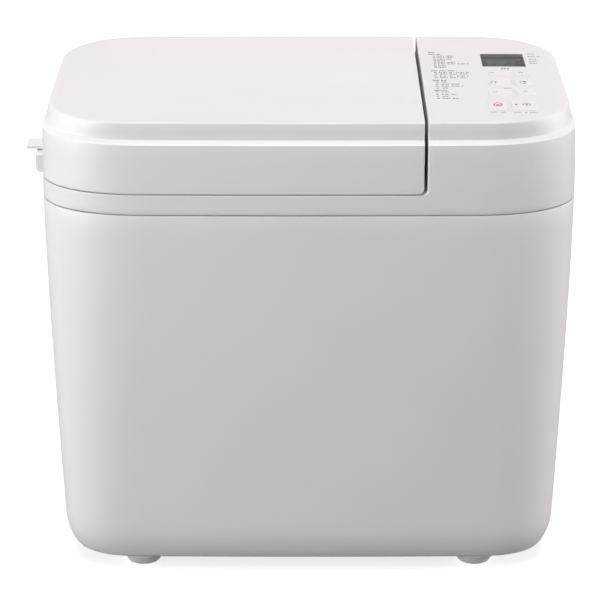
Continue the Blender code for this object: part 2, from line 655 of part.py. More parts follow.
def make_blade():
    at = (DRIVE_X, 0, 0)
    turned("pan_shaft", ((0, 148.5), (SHAFT_R, 148.5), (SHAFT_R, 110.5), (0, 110.5)), at, STEEL, 16)
    hub = ((0, 152), (5.5, 152), (7, 150.5), (9, 130.2), (SHAFT_R + FIT, 130.2),
           (SHAFT_R + FIT, 149), (0, 149))
    blade = turned("kneading_blade", hub, at, COATED, 20)
    outline = [(5.5, 131), (36, 131), (42, 136)] + arc(34, 140, 8, 0, 90, 3) + [(5.5, 149)]
    paddle = extruded("paddle", [outline], 3, Matrix.Translation((DRIVE_X, 0, 0)) @ UPRIGHT)
    boolean(blade, paddle, "UNION")
    dog = bush("pan_coupling", SHAFT_R + FIT, 22.0, 111.0, 116.5, at, GREY_PLASTIC, 24)
    vanes = [(sector(12.0, 21.0, a + 60, 24, 3), 105.2, 112.0) for a in (0, 120, 240)]
    boolean(dog, sectors("coupling_vanes_upper", vanes), "UNION")


# ---- drive ----------------------------------------------------------------
def make_drive():
    at = (DRIVE_X, 0, 0)
    turned("drive_shaft", ((0, 106), (SHAFT_R, 106), (SHAFT_R, 17), (0, 17)), at, STEEL, 16)
    dog = bush("drive_coupling", SHAFT_R + FIT, 11.5, 101.2, 107.5, at, GREY_PLASTIC, 24)
    vanes = [(sector(10.0, 20.5, a, 24, 3), 103.5, 110.0) for a in (0, 120, 240)]
    boolean(dog, sectors("coupling_vanes_lower", vanes), "UNION")
    housing = ((7.4, 98.6), (28, 98.6), (28, 95), (10.5, 94), (10.5, 50), (7.4, 50))
    turned("drive_bearing_housing", housing, at, ALUMINIUM, 24, hollow=True)
    bush("drive_bush_upper", SHAFT_R + FIT, 7.0, 84, 96, at, BRASS, 16)
    bush("drive_bush_lower", SHAFT_R + FIT, 7.0, 51, 63, at, BRASS, 16)
    pulley = ((SHAFT_R + FIT, 36), (9, 36), (9, 29), (40, 29), (41, 34), (PULLEY_R, 34),
              (PULLEY_R, 20), (41, 20), (40, 25), (9, 25), (9, 18.5), (SHAFT_R + FIT, 18.5))
    turned("large_pulley", pulley, at, GREY_PLASTIC, 28, hollow=True)
    make_belt()
    make_motor()
    legs = [(x - 5, x + 5, y - 5, y + 5, 13.0, CHASSIS_Z + 1) for x in (-99, 170) for y in (-44, 44)]
    chassis = boxes("chassis_plate", [(-105, 178, -50, 50, CHASSIS_Z, CHASSIS_Z + 2)], STEEL)
    boolean(chassis, boxes("chassis_legs", legs), "UNION")
    holes = [((DRIVE_X, 0, CHASSIS_Z), 9.0, 20, "Z"), ((MOTOR_X, 0, CHASSIS_Z), 11.0, 20, "Z")]
    boolean(chassis, cylinders("chassis_holes", holes, sides=20))


def belt_loop(grow):
    """An open belt round both pulleys, grown outwards by grow."""
    big, small = PULLEY_R + grow, PINION_R + grow
    angle = math.degrees(math.acos((big - small) / (MOTOR_X - DRIVE_X)))
    loop = arc(DRIVE_X, 0, big, angle, 360 - angle, 24)
    return loop + arc(MOTOR_X, 0, small, -angle, angle, 10)


def make_belt():
    extruded("drive_belt", [belt_loop(2.2), belt_loop(0.4)], 10,
             Matrix.Translation((0, 0, 27)), RUBBER)


def make_motor():
    at = (MOTOR_X, 0, 0)
    bore = MOTOR_SHAFT_R + FIT
    body = ((bore, 106), (12, 106), (12, 103), (28, 103), (30, 101), (30, 45), (28, 43),
            (9, 43), (bore, 43))
    turned("motor_body", body, at, STEEL, 20, hollow=True)
    shaft = ((0, 118), (MOTOR_SHAFT_R, 118), (MOTOR_SHAFT_R, 18), (0, 18))
    turned("motor_shaft", shaft, at, STEEL, 16)
    bush("motor_pulley", bore, PINION_R, 20, 34, at, BRASS, 16)
    fan = bush("motor_fan", bore, 8.0, 107.5, 116.5, at, GREY_PLASTIC, 20)
    bm = bmesh.new()
    for i in range(6):
        blade = (Matrix.Translation((MOTOR_X, 0, 112)) @ Matrix.Rotation(math.radians(60 * i), 4, "Z")
                 @ Matrix.Translation((17, 0, 0)) @ Matrix.Diagonal((21, 1.6, 7.5, 1)))
        bmesh.ops.create_cube(bm, size=1.0, matrix=blade)
    boolean(fan, add("fan_blades", finish_mesh("fan_blades", bm)), "UNION")


# ---- electronics ----------------------------------------------------------
def make_electronics():
    outline = [(152, 42.4), (174.5, 42.4), (174.5, 205), (173, 205), (173, 44), (152, 44)]
    extruded("board_bracket", [outline], 96, UPRIGHT, STEEL)
    boxes("power_board", [(171.0, 172.6, -45, 45, 110, 200)], BOARD)
    transformer = boxes("transformer", [(146, 170.6, -38, -6, 124, 164)], BLACK)
    rounded = transformer.modifiers.new("edges", "BEVEL")
    rounded.width = 1.5 * MM
    rounded.segments = 2
    turned("capacitor", ((0, 36), (8, 36), (9, 35), (9, 0), (0, 0)), (160, 22, 126), BLACK, 20)
    board = boxes("control_board", [(92, 178, -92, 72, 343, 344.6)], BOARD)
    switches = [((x0 + x1) / 2 - 3, (x0 + x1) / 2 + 3, (y0 + y1) / 2 - 3, (y0 + y1) / 2 + 3, 344, 350)
                for x0, x1, y0, y1 in KEYS.values()]
    boolean(board, boxes("tact_switches", switches), "UNION")
    x0, x1, y0, y1 = LCD_BOX
    boxes("lcd_module", [(x0 - 3, x1 + 3, y0 - 4, y1 + 4, 345, 357.8)], SCREEN)
    window = [key_ring(z, LCD_BOX, -KEY_GAP + 0.1, 1.6) for z in (358.7, 361.0)]
    loft("lcd_window", window, SCREEN)
    start, end = Vector((166, 30, 190)), Vector((150, 78, 342))
    path = []
    for i in range(13):
        t = i / 12
        bend = Vector((-14, 10, 0)) * math.sin(math.pi * t)
        ease = t * t * (3 - 2 * t)
        path.append(Vector((start.x + (end.x - start.x) * ease, start.y + (end.y - start.y) * ease,
                            start.z + (end.z - start.z) * t)) + bend)
    tube("wiring_harness", path, 3.0, BLACK)


def make_keys():
    """Each key: a retaining flange under the panel and a pillowed cap through it."""
    for name, span in KEYS.items():
        x0, x1, y0, y1 = span
        rings = [key_ring(351.5, span, 1.0, 2.0), key_ring(353, span, 1.0, 2.0),
                 key_ring(353, span, 0, 1.6), key_ring(KEY_TOP_Z - 0.5, span, 0, 1.6),
                 key_ring(KEY_TOP_Z, span, -0.7, 1.2)]
        loft(name, rings, WHITE, origin=((x0 + x1) / 2, (y0 + y1) / 2, KEY_TOP_Z))


make_lower_housing()
make_base()
make_upper_housing()
make_lid()
make_lid_liner()
make_chamber()
make_pan()
make_blade()
make_drive()
make_electronics()
make_keys()
bpy.context.view_layer.update()
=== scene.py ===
# %% [markdown]
# # A bread machine, finished for the camera
#
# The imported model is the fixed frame: its pieces have the right sizes and places, and they are
# already sorted into bodies that move. This script dresses that frame. The outer shells, the
# keys, the display and the baking chamber are rebuilt here as smooth surfaces, and what stays
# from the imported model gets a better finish. Nothing from the frame is moved.

# %% Load the frame
import json
import math

import bmesh
import bpy
from mathutils import Matrix, Vector


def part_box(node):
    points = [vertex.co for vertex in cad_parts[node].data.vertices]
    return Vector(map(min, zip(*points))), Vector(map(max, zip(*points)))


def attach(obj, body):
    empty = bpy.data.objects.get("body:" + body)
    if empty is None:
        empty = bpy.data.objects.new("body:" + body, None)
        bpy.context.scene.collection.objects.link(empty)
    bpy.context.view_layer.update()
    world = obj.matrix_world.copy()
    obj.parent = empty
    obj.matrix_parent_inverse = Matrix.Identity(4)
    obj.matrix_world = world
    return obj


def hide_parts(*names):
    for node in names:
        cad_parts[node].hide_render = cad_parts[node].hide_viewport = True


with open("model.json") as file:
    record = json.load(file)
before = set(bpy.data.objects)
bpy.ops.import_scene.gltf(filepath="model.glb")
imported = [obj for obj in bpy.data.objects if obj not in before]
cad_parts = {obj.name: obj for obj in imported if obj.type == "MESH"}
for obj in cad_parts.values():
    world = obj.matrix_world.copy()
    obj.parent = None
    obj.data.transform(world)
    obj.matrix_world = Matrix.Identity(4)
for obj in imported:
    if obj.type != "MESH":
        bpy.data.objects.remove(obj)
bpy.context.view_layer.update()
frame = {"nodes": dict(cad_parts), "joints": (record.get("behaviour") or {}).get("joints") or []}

# %% [markdown]
# ## Units and leading sizes
#
# Lengths are millimetres, because a moulded appliance is drawn in them, and a mesh is scaled to
# metres when it is made. X is counted from the middle of the housing. The frame gives the places
# of seams, walls and keys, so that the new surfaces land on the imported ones.

# %% Sizes from the frame
MM = 0.001


def span(node):
    """A node's box in millimetres, with X from the housing's middle."""
    low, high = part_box(node)
    return [Vector((p.x / MM - MIDDLE_X, p.y / MM, p.z / MM)) for p in (low, high)]


MIDDLE_X = 0.0
shell_low, shell_high = span("lower_housing")
MIDDLE_X = (shell_low.x + shell_high.x) / 2
shell_low, shell_high = span("lower_housing")
upper_low = span("upper_housing")[0]
lid_low, lid_high = span("lid_cover")

BODY_W = shell_high.x - shell_low.x
CROWN = 2.5
BODY_D = shell_high.y - shell_low.y - 2 * CROWN
WALL = 3.0
FULLNESS = 2.2
DEPTH_TAPER = 20.0 / 14.5
BASE_Z, SHELL_TOP = shell_low.z, shell_high.z
BAND_LOW = upper_low.z
LID_LOW, LID_RIGHT = lid_low.z, lid_high.x
DECK_Z = LID_LOW - 0.8
COLUMN_LEFT = LID_RIGHT + 2.5
FILLET = 4.0
HINGE = next(j for j in frame["joints"] if j["name"] == "lid_hinge")["pos_m"]
HINGE_Y, HINGE_Z = HINGE[1] / MM, HINGE[2] / MM
chamber_low, chamber_high = span("baking_chamber")
DRIVE_X = (chamber_low.x + chamber_high.x) / 2
SEAM_CORNER, BASE_CORNER, TOP_CORNER = (75.0, 53.0), (48.0, 39.0), (62.5, 63.7)
print("body %.0f x %.0f mm, lid seam at %.1f mm" % (BODY_W, BODY_D + 2 * CROWN, LID_LOW))

# %% [markdown]
# ## Camera
#
# The camera stands in front and a little above, looking down about 21 degrees with a long lens,
# so that the front stays square and the top still shows. It comes first, so that every later
# piece is judged from where it is seen.

# %% Place the camera
CAMERA_DISTANCE = 1932.8
CAMERA_PITCH = 21.26
AIM_Z = 180.0
pitch = math.radians(CAMERA_PITCH)
camera_data = bpy.data.cameras.new("view")
camera_data.sensor_width = 36.0
camera_data.lens = 149.2
camera_data.shift_x = -0.0148
camera = bpy.data.objects.new("view", camera_data)
camera.location = Vector((MIDDLE_X, -CAMERA_DISTANCE * math.cos(pitch),
                          AIM_Z + CAMERA_DISTANCE * math.sin(pitch))) * MM
camera.rotation_euler = (math.pi / 2 - pitch, 0, 0)
bpy.context.scene.collection.objects.link(camera)
bpy.context.scene.camera = camera
bpy.context.scene.view_settings.view_transform = "Standard"
print("camera at", tuple(round(v, 3) for v in camera.location))

# %% [markdown]
# ## Light and floor
#
# A white appliance is shown in a light tent: bright panels at both sides and overhead, and a dim
# front, so that the front face reads as pale grey and the corners turn bright. One world shader
# does this from the direction of the light alone. Each panel is a soft lobe: the cosine of the
# angle to the panel's middle, raised to a power. A high power makes a small, well-marked panel.
# This was chosen over area lamps because its soft light leaves no noise.

# %% Light tent
# (panel's direction, strength, power)
PANELS = (((1.0, 0.0, 0.0), 7.2, 14), ((0.9, -0.43, 0.0), 2.2, 6), ((-0.97, -0.26, 0.0), 5.7, 14),
          ((-0.85, -0.53, 0.0), 1.5, 6), ((0.0, -0.03, 1.0), 9.6, 30), ((0.0, 0.98, 0.2), 1.0, 4))


def build_tent():
    world = bpy.data.worlds.new("light_tent")
    bpy.context.scene.world = world
    world.use_nodes = True
    tree = world.node_tree
    tree.nodes.clear()
    place = tree.nodes.new("ShaderNodeTexCoord")

    def maths(operation, a, b):
        node = tree.nodes.new("ShaderNodeMath")
        node.operation = operation
        for socket, value in zip(node.inputs, (a, b)):
            if isinstance(value, (int, float)):
                socket.default_value = value
            else:
                tree.links.new(value, socket)
        return node.outputs[0]

    total = 0.03
    for direction, strength, exponent in PANELS:
        facing = tree.nodes.new("ShaderNodeVectorMath")
        facing.operation = "DOT_PRODUCT"
        tree.links.new(place.outputs["Generated"], facing.inputs[0])
        facing.inputs[1].default_value = Vector(direction).normalized()
        lobe = maths("POWER", maths("MAXIMUM", facing.outputs["Value"], 0.0), exponent)
        total = maths("ADD", maths("MULTIPLY", lobe, strength), total)
    path = tree.nodes.new("ShaderNodeLightPath")
    seen = tree.nodes.new("ShaderNodeMix")
    seen.data_type = "FLOAT"
    tree.links.new(path.outputs["Is Camera Ray"], seen.inputs["Factor"])
    tree.links.new(total, seen.inputs["A"])
    seen.inputs["B"].default_value = 1.0
    shade = tree.nodes.new("ShaderNodeBackground")
    shade.inputs["Color"].default_value = (1.0, 0.975, 1.0, 1.0)
    tree.links.new(seen.outputs["Result"], shade.inputs["Strength"])
    output = tree.nodes.new("ShaderNodeOutputWorld")
    tree.links.new(shade.outputs[0], output.inputs[0])


build_tent()
print("light tent with", len(PANELS), "panels")

# %% [markdown]
# One softbox stands close by at the front left. Because it is near, its light falls off across
# the front, which shades gently from left to right.

# %% Softbox
SOFTBOX_PLACE, SOFTBOX_SIZE, SOFTBOX_POWER = Vector((-1.15, -0.80, 0.28)), 0.7, 6.1
softbox_data = bpy.data.lights.new("softbox", "AREA")
softbox_data.size = SOFTBOX_SIZE
softbox_data.energy = SOFTBOX_POWER
softbox = bpy.data.objects.new("softbox", softbox_data)
softbox.location = SOFTBOX_PLACE
softbox.rotation_euler = (Vector((0, 0, AIM_Z * MM)) - SOFTBOX_PLACE).to_track_quat("-Z", "Y").to_euler()
bpy.context.scene.collection.objects.link(softbox)
print("softbox", SOFTBOX_SIZE, "m wide")

# %% [markdown]
# The floor is white paper to the eye. To the light it is darker, as when black flags lie in front
# of the machine and keep the floor's glow off its front. A mix of two plain papers does both.

# %% Floor
FLOOR_SIZE = 12.0
floor_mesh = bpy.data.meshes.new("floor")
floor_form = bmesh.new()
bmesh.ops.create_grid(floor_form, x_segments=1, y_segments=1, size=FLOOR_SIZE / 2)
floor_form.to_mesh(floor_mesh)
floor_form.free()
floor = bpy.data.objects.new("floor", floor_mesh)
floor.location.z = -0.0002
bpy.context.scene.collection.objects.link(floor)
floor_finish = bpy.data.materials.new("floor_paper")
floor_finish.use_nodes = True
floor_nodes = floor_finish.node_tree.nodes
flagged = floor_nodes["Principled BSDF"]
flagged.inputs["Base Color"].default_value = (0.13, 0.13, 0.13, 1)
flagged.inputs["Roughness"].default_value = 0.9
paper = floor_nodes.new("ShaderNodeBsdfPrincipled")
paper.inputs["Base Color"].default_value = (0.50, 0.50, 0.50, 1)
paper.inputs["Roughness"].default_value = 0.9
paper.inputs["Emission Color"].default_value = (1, 1, 1, 1)
paper.inputs["Emission Strength"].default_value = 0.75
choice = floor_nodes.new("ShaderNodeMixShader")
ray = floor_nodes.new("ShaderNodeLightPath")
floor_links = floor_finish.node_tree.links
floor_links.new(ray.outputs["Is Camera Ray"], choice.inputs[0])
floor_links.new(flagged.outputs[0], choice.inputs[1])
floor_links.new(paper.outputs[0], choice.inputs[2])
floor_links.new(choice.outputs[0], floor_nodes["Material Output"].inputs["Surface"])
floor_mesh.materials.append(floor_finish)
print("floor", FLOOR_SIZE, "m across")

# %% [markdown]
# ## Writing shaders as sums
#
# A finish is easier to read as arithmetic than as a wiring diagram. `Value` wraps one socket and
# turns Python's operators into Math nodes; `Finish` holds one material and adds every other node
# through a single method. Only what changes over a surface goes through nodes. What is the same
# all over is set straight on the shader.

# %% Value and Finish
class Value:
    """One shader socket that takes part in arithmetic."""

    def __init__(self, finish, socket):
        self.finish, self.socket = finish, socket

    def maths(self, operation, a, b=0.0):
        return self.finish.node("ShaderNodeMath", {"operation": operation}, [a, b])

    def __add__(self, other):
        return self.maths("ADD", self, other)

    def __radd__(self, other):
        return self.maths("ADD", other, self)

    def __sub__(self, other):
        return self.maths("SUBTRACT", self, other)

    def __rsub__(self, other):
        return self.maths("SUBTRACT", other, self)

    def __mul__(self, other):
        return self.maths("MULTIPLY", self, other)

    def __rmul__(self, other):
        return self.maths("MULTIPLY", other, self)

    def __gt__(self, other):
        return self.maths("GREATER_THAN", self, other)


class Finish:
    """A material built on one Principled shader."""

    def __init__(self, name, **uniform):
        self.material = bpy.data.materials.new(name)
        self.material.use_nodes = True
        self.tree = self.material.node_tree
        self.shader = self.tree.nodes["Principled BSDF"]
        for socket, value in uniform.items():
            self.shader.inputs[socket.replace("_", " ")].default_value = value
        self.place = self.node("ShaderNodeTexCoord", {}, {}, "Object")

    def node(self, kind, settings, sockets, output=0):
        made = self.tree.nodes.new(kind)
        for setting, value in settings.items():
            if setting == "stops":
                self.set_stops(made, value)
            else:
                setattr(made, setting, value)
        pairs = sockets.items() if isinstance(sockets, dict) else enumerate(sockets)
        for socket, value in pairs:
            if isinstance(value, Value):
                self.tree.links.new(value.socket, made.inputs[socket])
            else:
                made.inputs[socket].default_value = value
        return Value(self, made.outputs[output])

    def set_stops(self, ramp, stops):
        elements = ramp.color_ramp.elements
        while len(elements) < len(stops):
            elements.new(0.5)
        for element, (position, colour) in zip(elements, stops):
            element.position = position
            element.color = (*colour, 1.0)

    def noise(self, scale, detail=2.0, rough=0.5, place=None):
        sockets = {"Vector": place or self.place, "Scale": scale, "Detail": detail, "Roughness": rough}
        return self.node("ShaderNodeTexNoise", {}, sockets, "Fac")

    def cells(self, scale):
        return self.node("ShaderNodeTexVoronoi", {"feature": "F1"},
                         {"Vector": self.place, "Scale": scale}, "Distance")

    def stretched(self, x, y, z):
        return self.node("ShaderNodeMapping", {}, {"Vector": self.place, "Scale": (x, y, z)})

    def blend(self, amount, a, b):
        """A mix of two colours by a factor."""
        return self.node("ShaderNodeMix", {"data_type": "RGBA"},
                         {"Factor": amount, 6: (*a, 1.0) if isinstance(a, tuple) else a,
                          7: (*b, 1.0) if isinstance(b, tuple) else b}, 2)

    def bump(self, height, distance, strength):
        sockets = {"Height": height, "Distance": distance, "Strength": strength}
        return self.node("ShaderNodeBump", {}, sockets)

    def feed(self, **links):
        for socket, value in links.items():
            self.tree.links.new(value.socket, self.shader.inputs[socket.replace("_", " ")])
        return self.material


print("shader helpers ready")

# %% [markdown]
# ## Moulded white plastic
#
# The shells are injection-moulded ABS with a fine satin texture from the mould. Up close there
# is a shallow grain about half a millimetre wide, a very faint unevenness of tone, and patches a
# little shinier than others where hands have been. Noise at three sizes gives these: the largest
# shifts the tone, the middle one the gloss, and the finest is the grain.

# %% White plastics
def moulded(name, colour, roughness, grain=0.00002, grain_scale=1800.0, tone=0.03):
    finish = Finish(name, IOR=1.5, Coat_Roughness=0.25)
    broad = finish.noise(9.0, 3.0)
    fine = finish.noise(grain_scale, 2.0)
    handled = finish.noise(38.0, 4.0, 0.6)
    darker = tuple(c * (1 - tone) for c in colour)
    colour_link = finish.blend(broad, darker, tuple(min(1.0, c * (1 + tone)) for c in colour))
    rough_link = roughness - 0.05 + handled * 0.08 + fine * 0.03
    return finish.feed(Base_Color=colour_link, Roughness=rough_link,
                       Normal=finish.bump(fine, grain, 0.6))


SHELL_WHITE = (0.800, 0.790, 0.800)
shell_finish = moulded("shell_plastic", SHELL_WHITE, 0.40)
lid_finish = moulded("lid_plastic", SHELL_WHITE, 0.38)
base_finish = moulded("base_plastic", (0.74, 0.73, 0.74), 0.55, 0.00004, 900.0)
key_finish = moulded("key_plastic", (0.815, 0.805, 0.815), 0.36, 0.00001, 2600.0, 0.01)
print("white plastics ready")

# %% [markdown]
# ## Rubber, dark plastics and print
#
# The feet are a firm grey rubber, dusty on their contact faces. Hidden mouldings are dark or
# grey plastic with the same kind of grain. The printed marks are a matt ink.

# %% Rubber, dark plastic and ink
def rubber(name, colour, roughness=0.75):
    finish = Finish(name, IOR=1.52)
    dust = finish.noise(120.0, 5.0, 0.65)
    speck = finish.cells(1400.0)
    pale = tuple(min(1.0, c * 1.35 + 0.02) for c in colour)
    return finish.feed(Base_Color=finish.blend(dust, colour, pale), Roughness=roughness - 0.1 + dust * 0.2,
                       Normal=finish.bump(speck, 0.00004, 0.5))


def ink(name, colour):
    finish = Finish(name, Specular_IOR_Level=0.3)
    patch = finish.noise(900.0, 2.0)
    return finish.feed(Base_Color=finish.blend(patch, colour, tuple(c * 0.8 + 0.05 for c in colour)),
                       Roughness=0.55 + patch * 0.15)


foot_finish = rubber("foot_rubber", (0.66, 0.65, 0.66), 0.60)
belt_finish = rubber("belt_rubber", (0.028, 0.028, 0.030), 0.60)
seal_finish = rubber("seal_silicone", (0.34, 0.08, 0.05), 0.50)
black_finish = moulded("black_plastic", (0.030, 0.030, 0.033), 0.45, 0.00003, 1200.0, 0.15)
grey_finish = moulded("grey_plastic", (0.42, 0.42, 0.43), 0.48, 0.00003, 1200.0, 0.06)
ink_grey = ink("ink_grey", (0.060, 0.060, 0.068))
ink_faint = ink("ink_faint", (0.26, 0.27, 0.29))
ink_red = ink("ink_red", (0.62, 0.11, 0.15))
print("rubbers, dark plastics and inks ready")

# %% [markdown]
# ## Metals
#
# Drawn sheet shows fine parallel lines, so its noise is stretched along one direction. Castings
# are pebbled, and sintered bronze is speckled. The heater tube has turned straw and blue-grey
# from heat. The non-stick pan is a dark paint with pale mineral specks.

# %% Metals and coatings
def sheet_metal(name, colour, roughness, along=(4.0, 900.0, 900.0)):
    finish = Finish(name, Metallic=1.0)
    lines = finish.noise(1.0, 3.0, 0.6, finish.stretched(*along))
    cloud = finish.noise(14.0, 4.0)
    dull = tuple(c * 0.82 for c in colour)
    return finish.feed(Base_Color=finish.blend(cloud, dull, colour),
                       Roughness=roughness - 0.08 + lines * 0.12 + cloud * 0.06,
                       Normal=finish.bump(lines, 0.000012, 0.5))


def cast_metal(name, colour, roughness):
    finish = Finish(name, Metallic=1.0)
    pebble = finish.cells(750.0)
    cloud = finish.noise(40.0, 5.0)
    return finish.feed(Base_Color=finish.blend(cloud, tuple(c * 0.75 for c in colour), colour),
                       Roughness=roughness + cloud * 0.15, Normal=finish.bump(pebble, 0.00008, 0.6))


def tinted_steel(name):
    finish = Finish(name, Metallic=1.0)
    heat = finish.noise(22.0, 3.0, 0.55)
    tint = finish.node("ShaderNodeValToRGB",
                       {"stops": ((0.30, (0.20, 0.19, 0.20)), (0.5, (0.34, 0.29, 0.23)),
                                  (0.70, (0.27, 0.28, 0.33)))}, {"Fac": heat}, "Color")
    scale = finish.noise(700.0, 3.0)
    return finish.feed(Base_Color=tint, Roughness=0.34 + scale * 0.2,
                       Normal=finish.bump(scale, 0.00003, 0.5))


def non_stick(name):
    finish = Finish(name, Coat_Weight=0.25, Coat_Roughness=0.2)
    specks = finish.cells(900.0)
    field = finish.noise(60.0, 4.0)
    mask = (finish.noise(1500.0, 1.0) > 0.66) * (0.35 + field * 0.6)
    base = finish.blend(field, (0.055, 0.055, 0.060), (0.085, 0.085, 0.092))
    return finish.feed(Base_Color=finish.blend(mask, base, (0.36, 0.36, 0.38)),
                       Roughness=0.38 + field * 0.15, Metallic=mask * 0.4,
                       Normal=finish.bump(specks, 0.00002, 0.5))


chamber_finish = sheet_metal("chamber_sheet", (0.72, 0.72, 0.73), 0.36, (900.0, 900.0, 4.0))
liner_finish = sheet_metal("liner_sheet", (0.74, 0.74, 0.75), 0.40)
zinc_finish = sheet_metal("zinc_sheet", (0.58, 0.60, 0.62), 0.42)
polished_finish = sheet_metal("polished_steel", (0.70, 0.70, 0.71), 0.20, (900.0, 900.0, 40.0))
cast_finish = cast_metal("cast_aluminium", (0.62, 0.62, 0.63), 0.42)
bronze_finish = cast_metal("sintered_bronze", (0.62, 0.42, 0.20), 0.38)
heater_finish = tinted_steel("heater_steel")
pan_finish = non_stick("non_stick")
print("metals ready")

# %% [markdown]
# ## Display and circuit boards
#
# The display is a reflective liquid crystal: a grey-green field with darker segments, in a dark
# frame under a clear cover. The cover is a tinted glossy sheet seen through by its alpha. The
# boards are green laminate with paler copper tracks.

# %% Display and boards
def screen_field(name):
    finish = Finish(name, IOR=1.5, Roughness=0.45, Specular_IOR_Level=0.1)
    glow = finish.noise(45.0, 2.0)
    weave = finish.node("ShaderNodeTexChecker", {}, {"Vector": finish.place, "Scale": 2600.0}, "Fac")
    field = finish.blend(glow, (0.120, 0.205, 0.180), (0.175, 0.275, 0.240))
    return finish.feed(Base_Color=finish.blend(weave * 0.12, field, (0.05, 0.08, 0.07)),
                       Normal=finish.bump(weave, 0.000005, 0.2))


def window_sheet(name):
    finish = Finish(name, Base_Color=(0.06, 0.06, 0.065, 1), IOR=1.49, Specular_IOR_Level=0.2)
    smear = finish.noise(60.0, 4.0, 0.6)
    return finish.feed(Roughness=0.05 + smear * 0.07, Alpha=0.30 + smear * 0.05)


def laminate(name):
    finish = Finish(name, IOR=1.5)
    tracks = finish.node("ShaderNodeTexBrick", {}, {"Vector": finish.place, "Scale": 320.0,
                                                   "Mortar Size": 0.05}, "Fac")
    grain = finish.noise(260.0, 3.0)
    green = finish.blend(grain, (0.018, 0.090, 0.040), (0.030, 0.130, 0.060))
    return finish.feed(Base_Color=finish.blend(tracks, green, (0.10, 0.27, 0.12)),
                       Roughness=0.30 + grain * 0.2, Normal=finish.bump(tracks, 0.00004, 0.5))


screen_finish = screen_field("lcd_field")
bezel_finish = ink("lcd_bezel", (0.022, 0.022, 0.026))
band_finish = ink("lcd_band", (0.20, 0.20, 0.205))
window_finish = window_sheet("lcd_cover")
board_finish = laminate("laminate")
print("display and boards ready")

# %% [markdown]
# ## From outline to surface
#
# Almost every shell here is a stack of outlines joined by faces, which modellers call a loft.
# An outline is a rounded rectangle whose corners are superellipses, a little fuller than
# circles, and whose front and back bulge slightly. A lofted shell follows the real moulding
# better than a box with bevels, because width, depth and corner shape all change with height.

# %% Loft and placing
COLLECTION = bpy.data.collections.new("bread_machine_finish")
bpy.context.scene.collection.children.link(COLLECTION)


def mesh_object(name, form, smooth=30.0):
    """A bmesh in millimetres becomes an object in the frame's metres."""
    bmesh.ops.recalc_face_normals(form, faces=form.faces)
    bmesh.ops.translate(form, verts=form.verts, vec=(MIDDLE_X, 0, 0))
    bmesh.ops.scale(form, verts=form.verts, vec=(MM, MM, MM))
    mesh = bpy.data.meshes.new(name)
    form.to_mesh(mesh)
    form.free()
    mesh.shade_smooth()
    mesh.set_sharp_from_angle(angle=math.radians(smooth))
    obj = bpy.data.objects.new(name, mesh)
    COLLECTION.objects.link(obj)
    return obj


def add_loft(form, rings, caps=True):
    rows = [[form.verts.new(p) for p in ring] for ring in rings]
    count = len(rows[0])
    for low, high in zip(rows, rows[1:]):
        for j in range(count):
            k = (j + 1) % count
            form.faces.new((low[j], low[k], high[k], high[j]))
    if caps:
        form.faces.new(rows[0][::-1])
        form.faces.new(rows[-1])
    return rows


def loft(name, rings, smooth=30.0):
    form = bmesh.new()
    add_loft(form, rings)
    return mesh_object(name, form, smooth)


def install(obj, body, finish, slot, *nodes):
    """Dress a piece, fix it to its body, and hide the imported nodes that it replaces."""
    obj.data.materials.clear()
    obj.data.materials.append(finish)
    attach(obj, body)
    if nodes:
        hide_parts(*nodes)
    return obj


def carve(obj, *tools):
    """Cut tools out of obj for good, and throw the tools away."""
    for tool in tools:
        step = obj.modifiers.new(tool.name, "BOOLEAN")
        step.operation = "DIFFERENCE"
        step.object = tool
    graph = bpy.context.evaluated_depsgraph_get()
    mesh = bpy.data.meshes.new_from_object(obj.evaluated_get(graph))
    obj.modifiers.clear()
    obj.data = mesh
    mesh.shade_smooth()
    mesh.set_sharp_from_angle(angle=math.radians(30))
    for tool in tools:
        bpy.data.objects.remove(tool, do_unlink=True)
    return obj


# %% [markdown]
# ## Outlines at a height
#
# A plan outline could be drawn as a curve, but code can give every height its own width, depth
# and corner. `Level` holds one height's plan and can hand out its right part, its left part, or
# the whole, each with the same number of points, so that outlines can be joined face to face.

# %% Outlines
CORNER_STEPS, EDGE_STEPS = 20, 12


def power(value, exponent):
    return math.copysign(abs(value) ** exponent, value)


def corner(cx, cy, rx, ry, start, steps=CORNER_STEPS, fullness=FULLNESS):
    points = []
    for i in range(steps + 1):
        a = math.radians(start + 90 * i / steps)
        points.append((cx + rx * power(math.cos(a), 2 / fullness),
                       cy + ry * power(math.sin(a), 2 / fullness)))
    return points


def straight(a, b, steps):
    """Points after a, up to and including b."""
    return [(a[0] + (b[0] - a[0]) * i / steps, a[1] + (b[1] - a[1]) * i / steps)
            for i in range(1, steps + 1)]


def bulged(points, half_d):
    out = []
    for x, y in points:
        reach = min(1.0, abs(y) / (half_d / 2))
        out.append((x, y + math.copysign(CROWN * (1 - (2 * x / BODY_W) ** 2) * reach, y)))
    return out


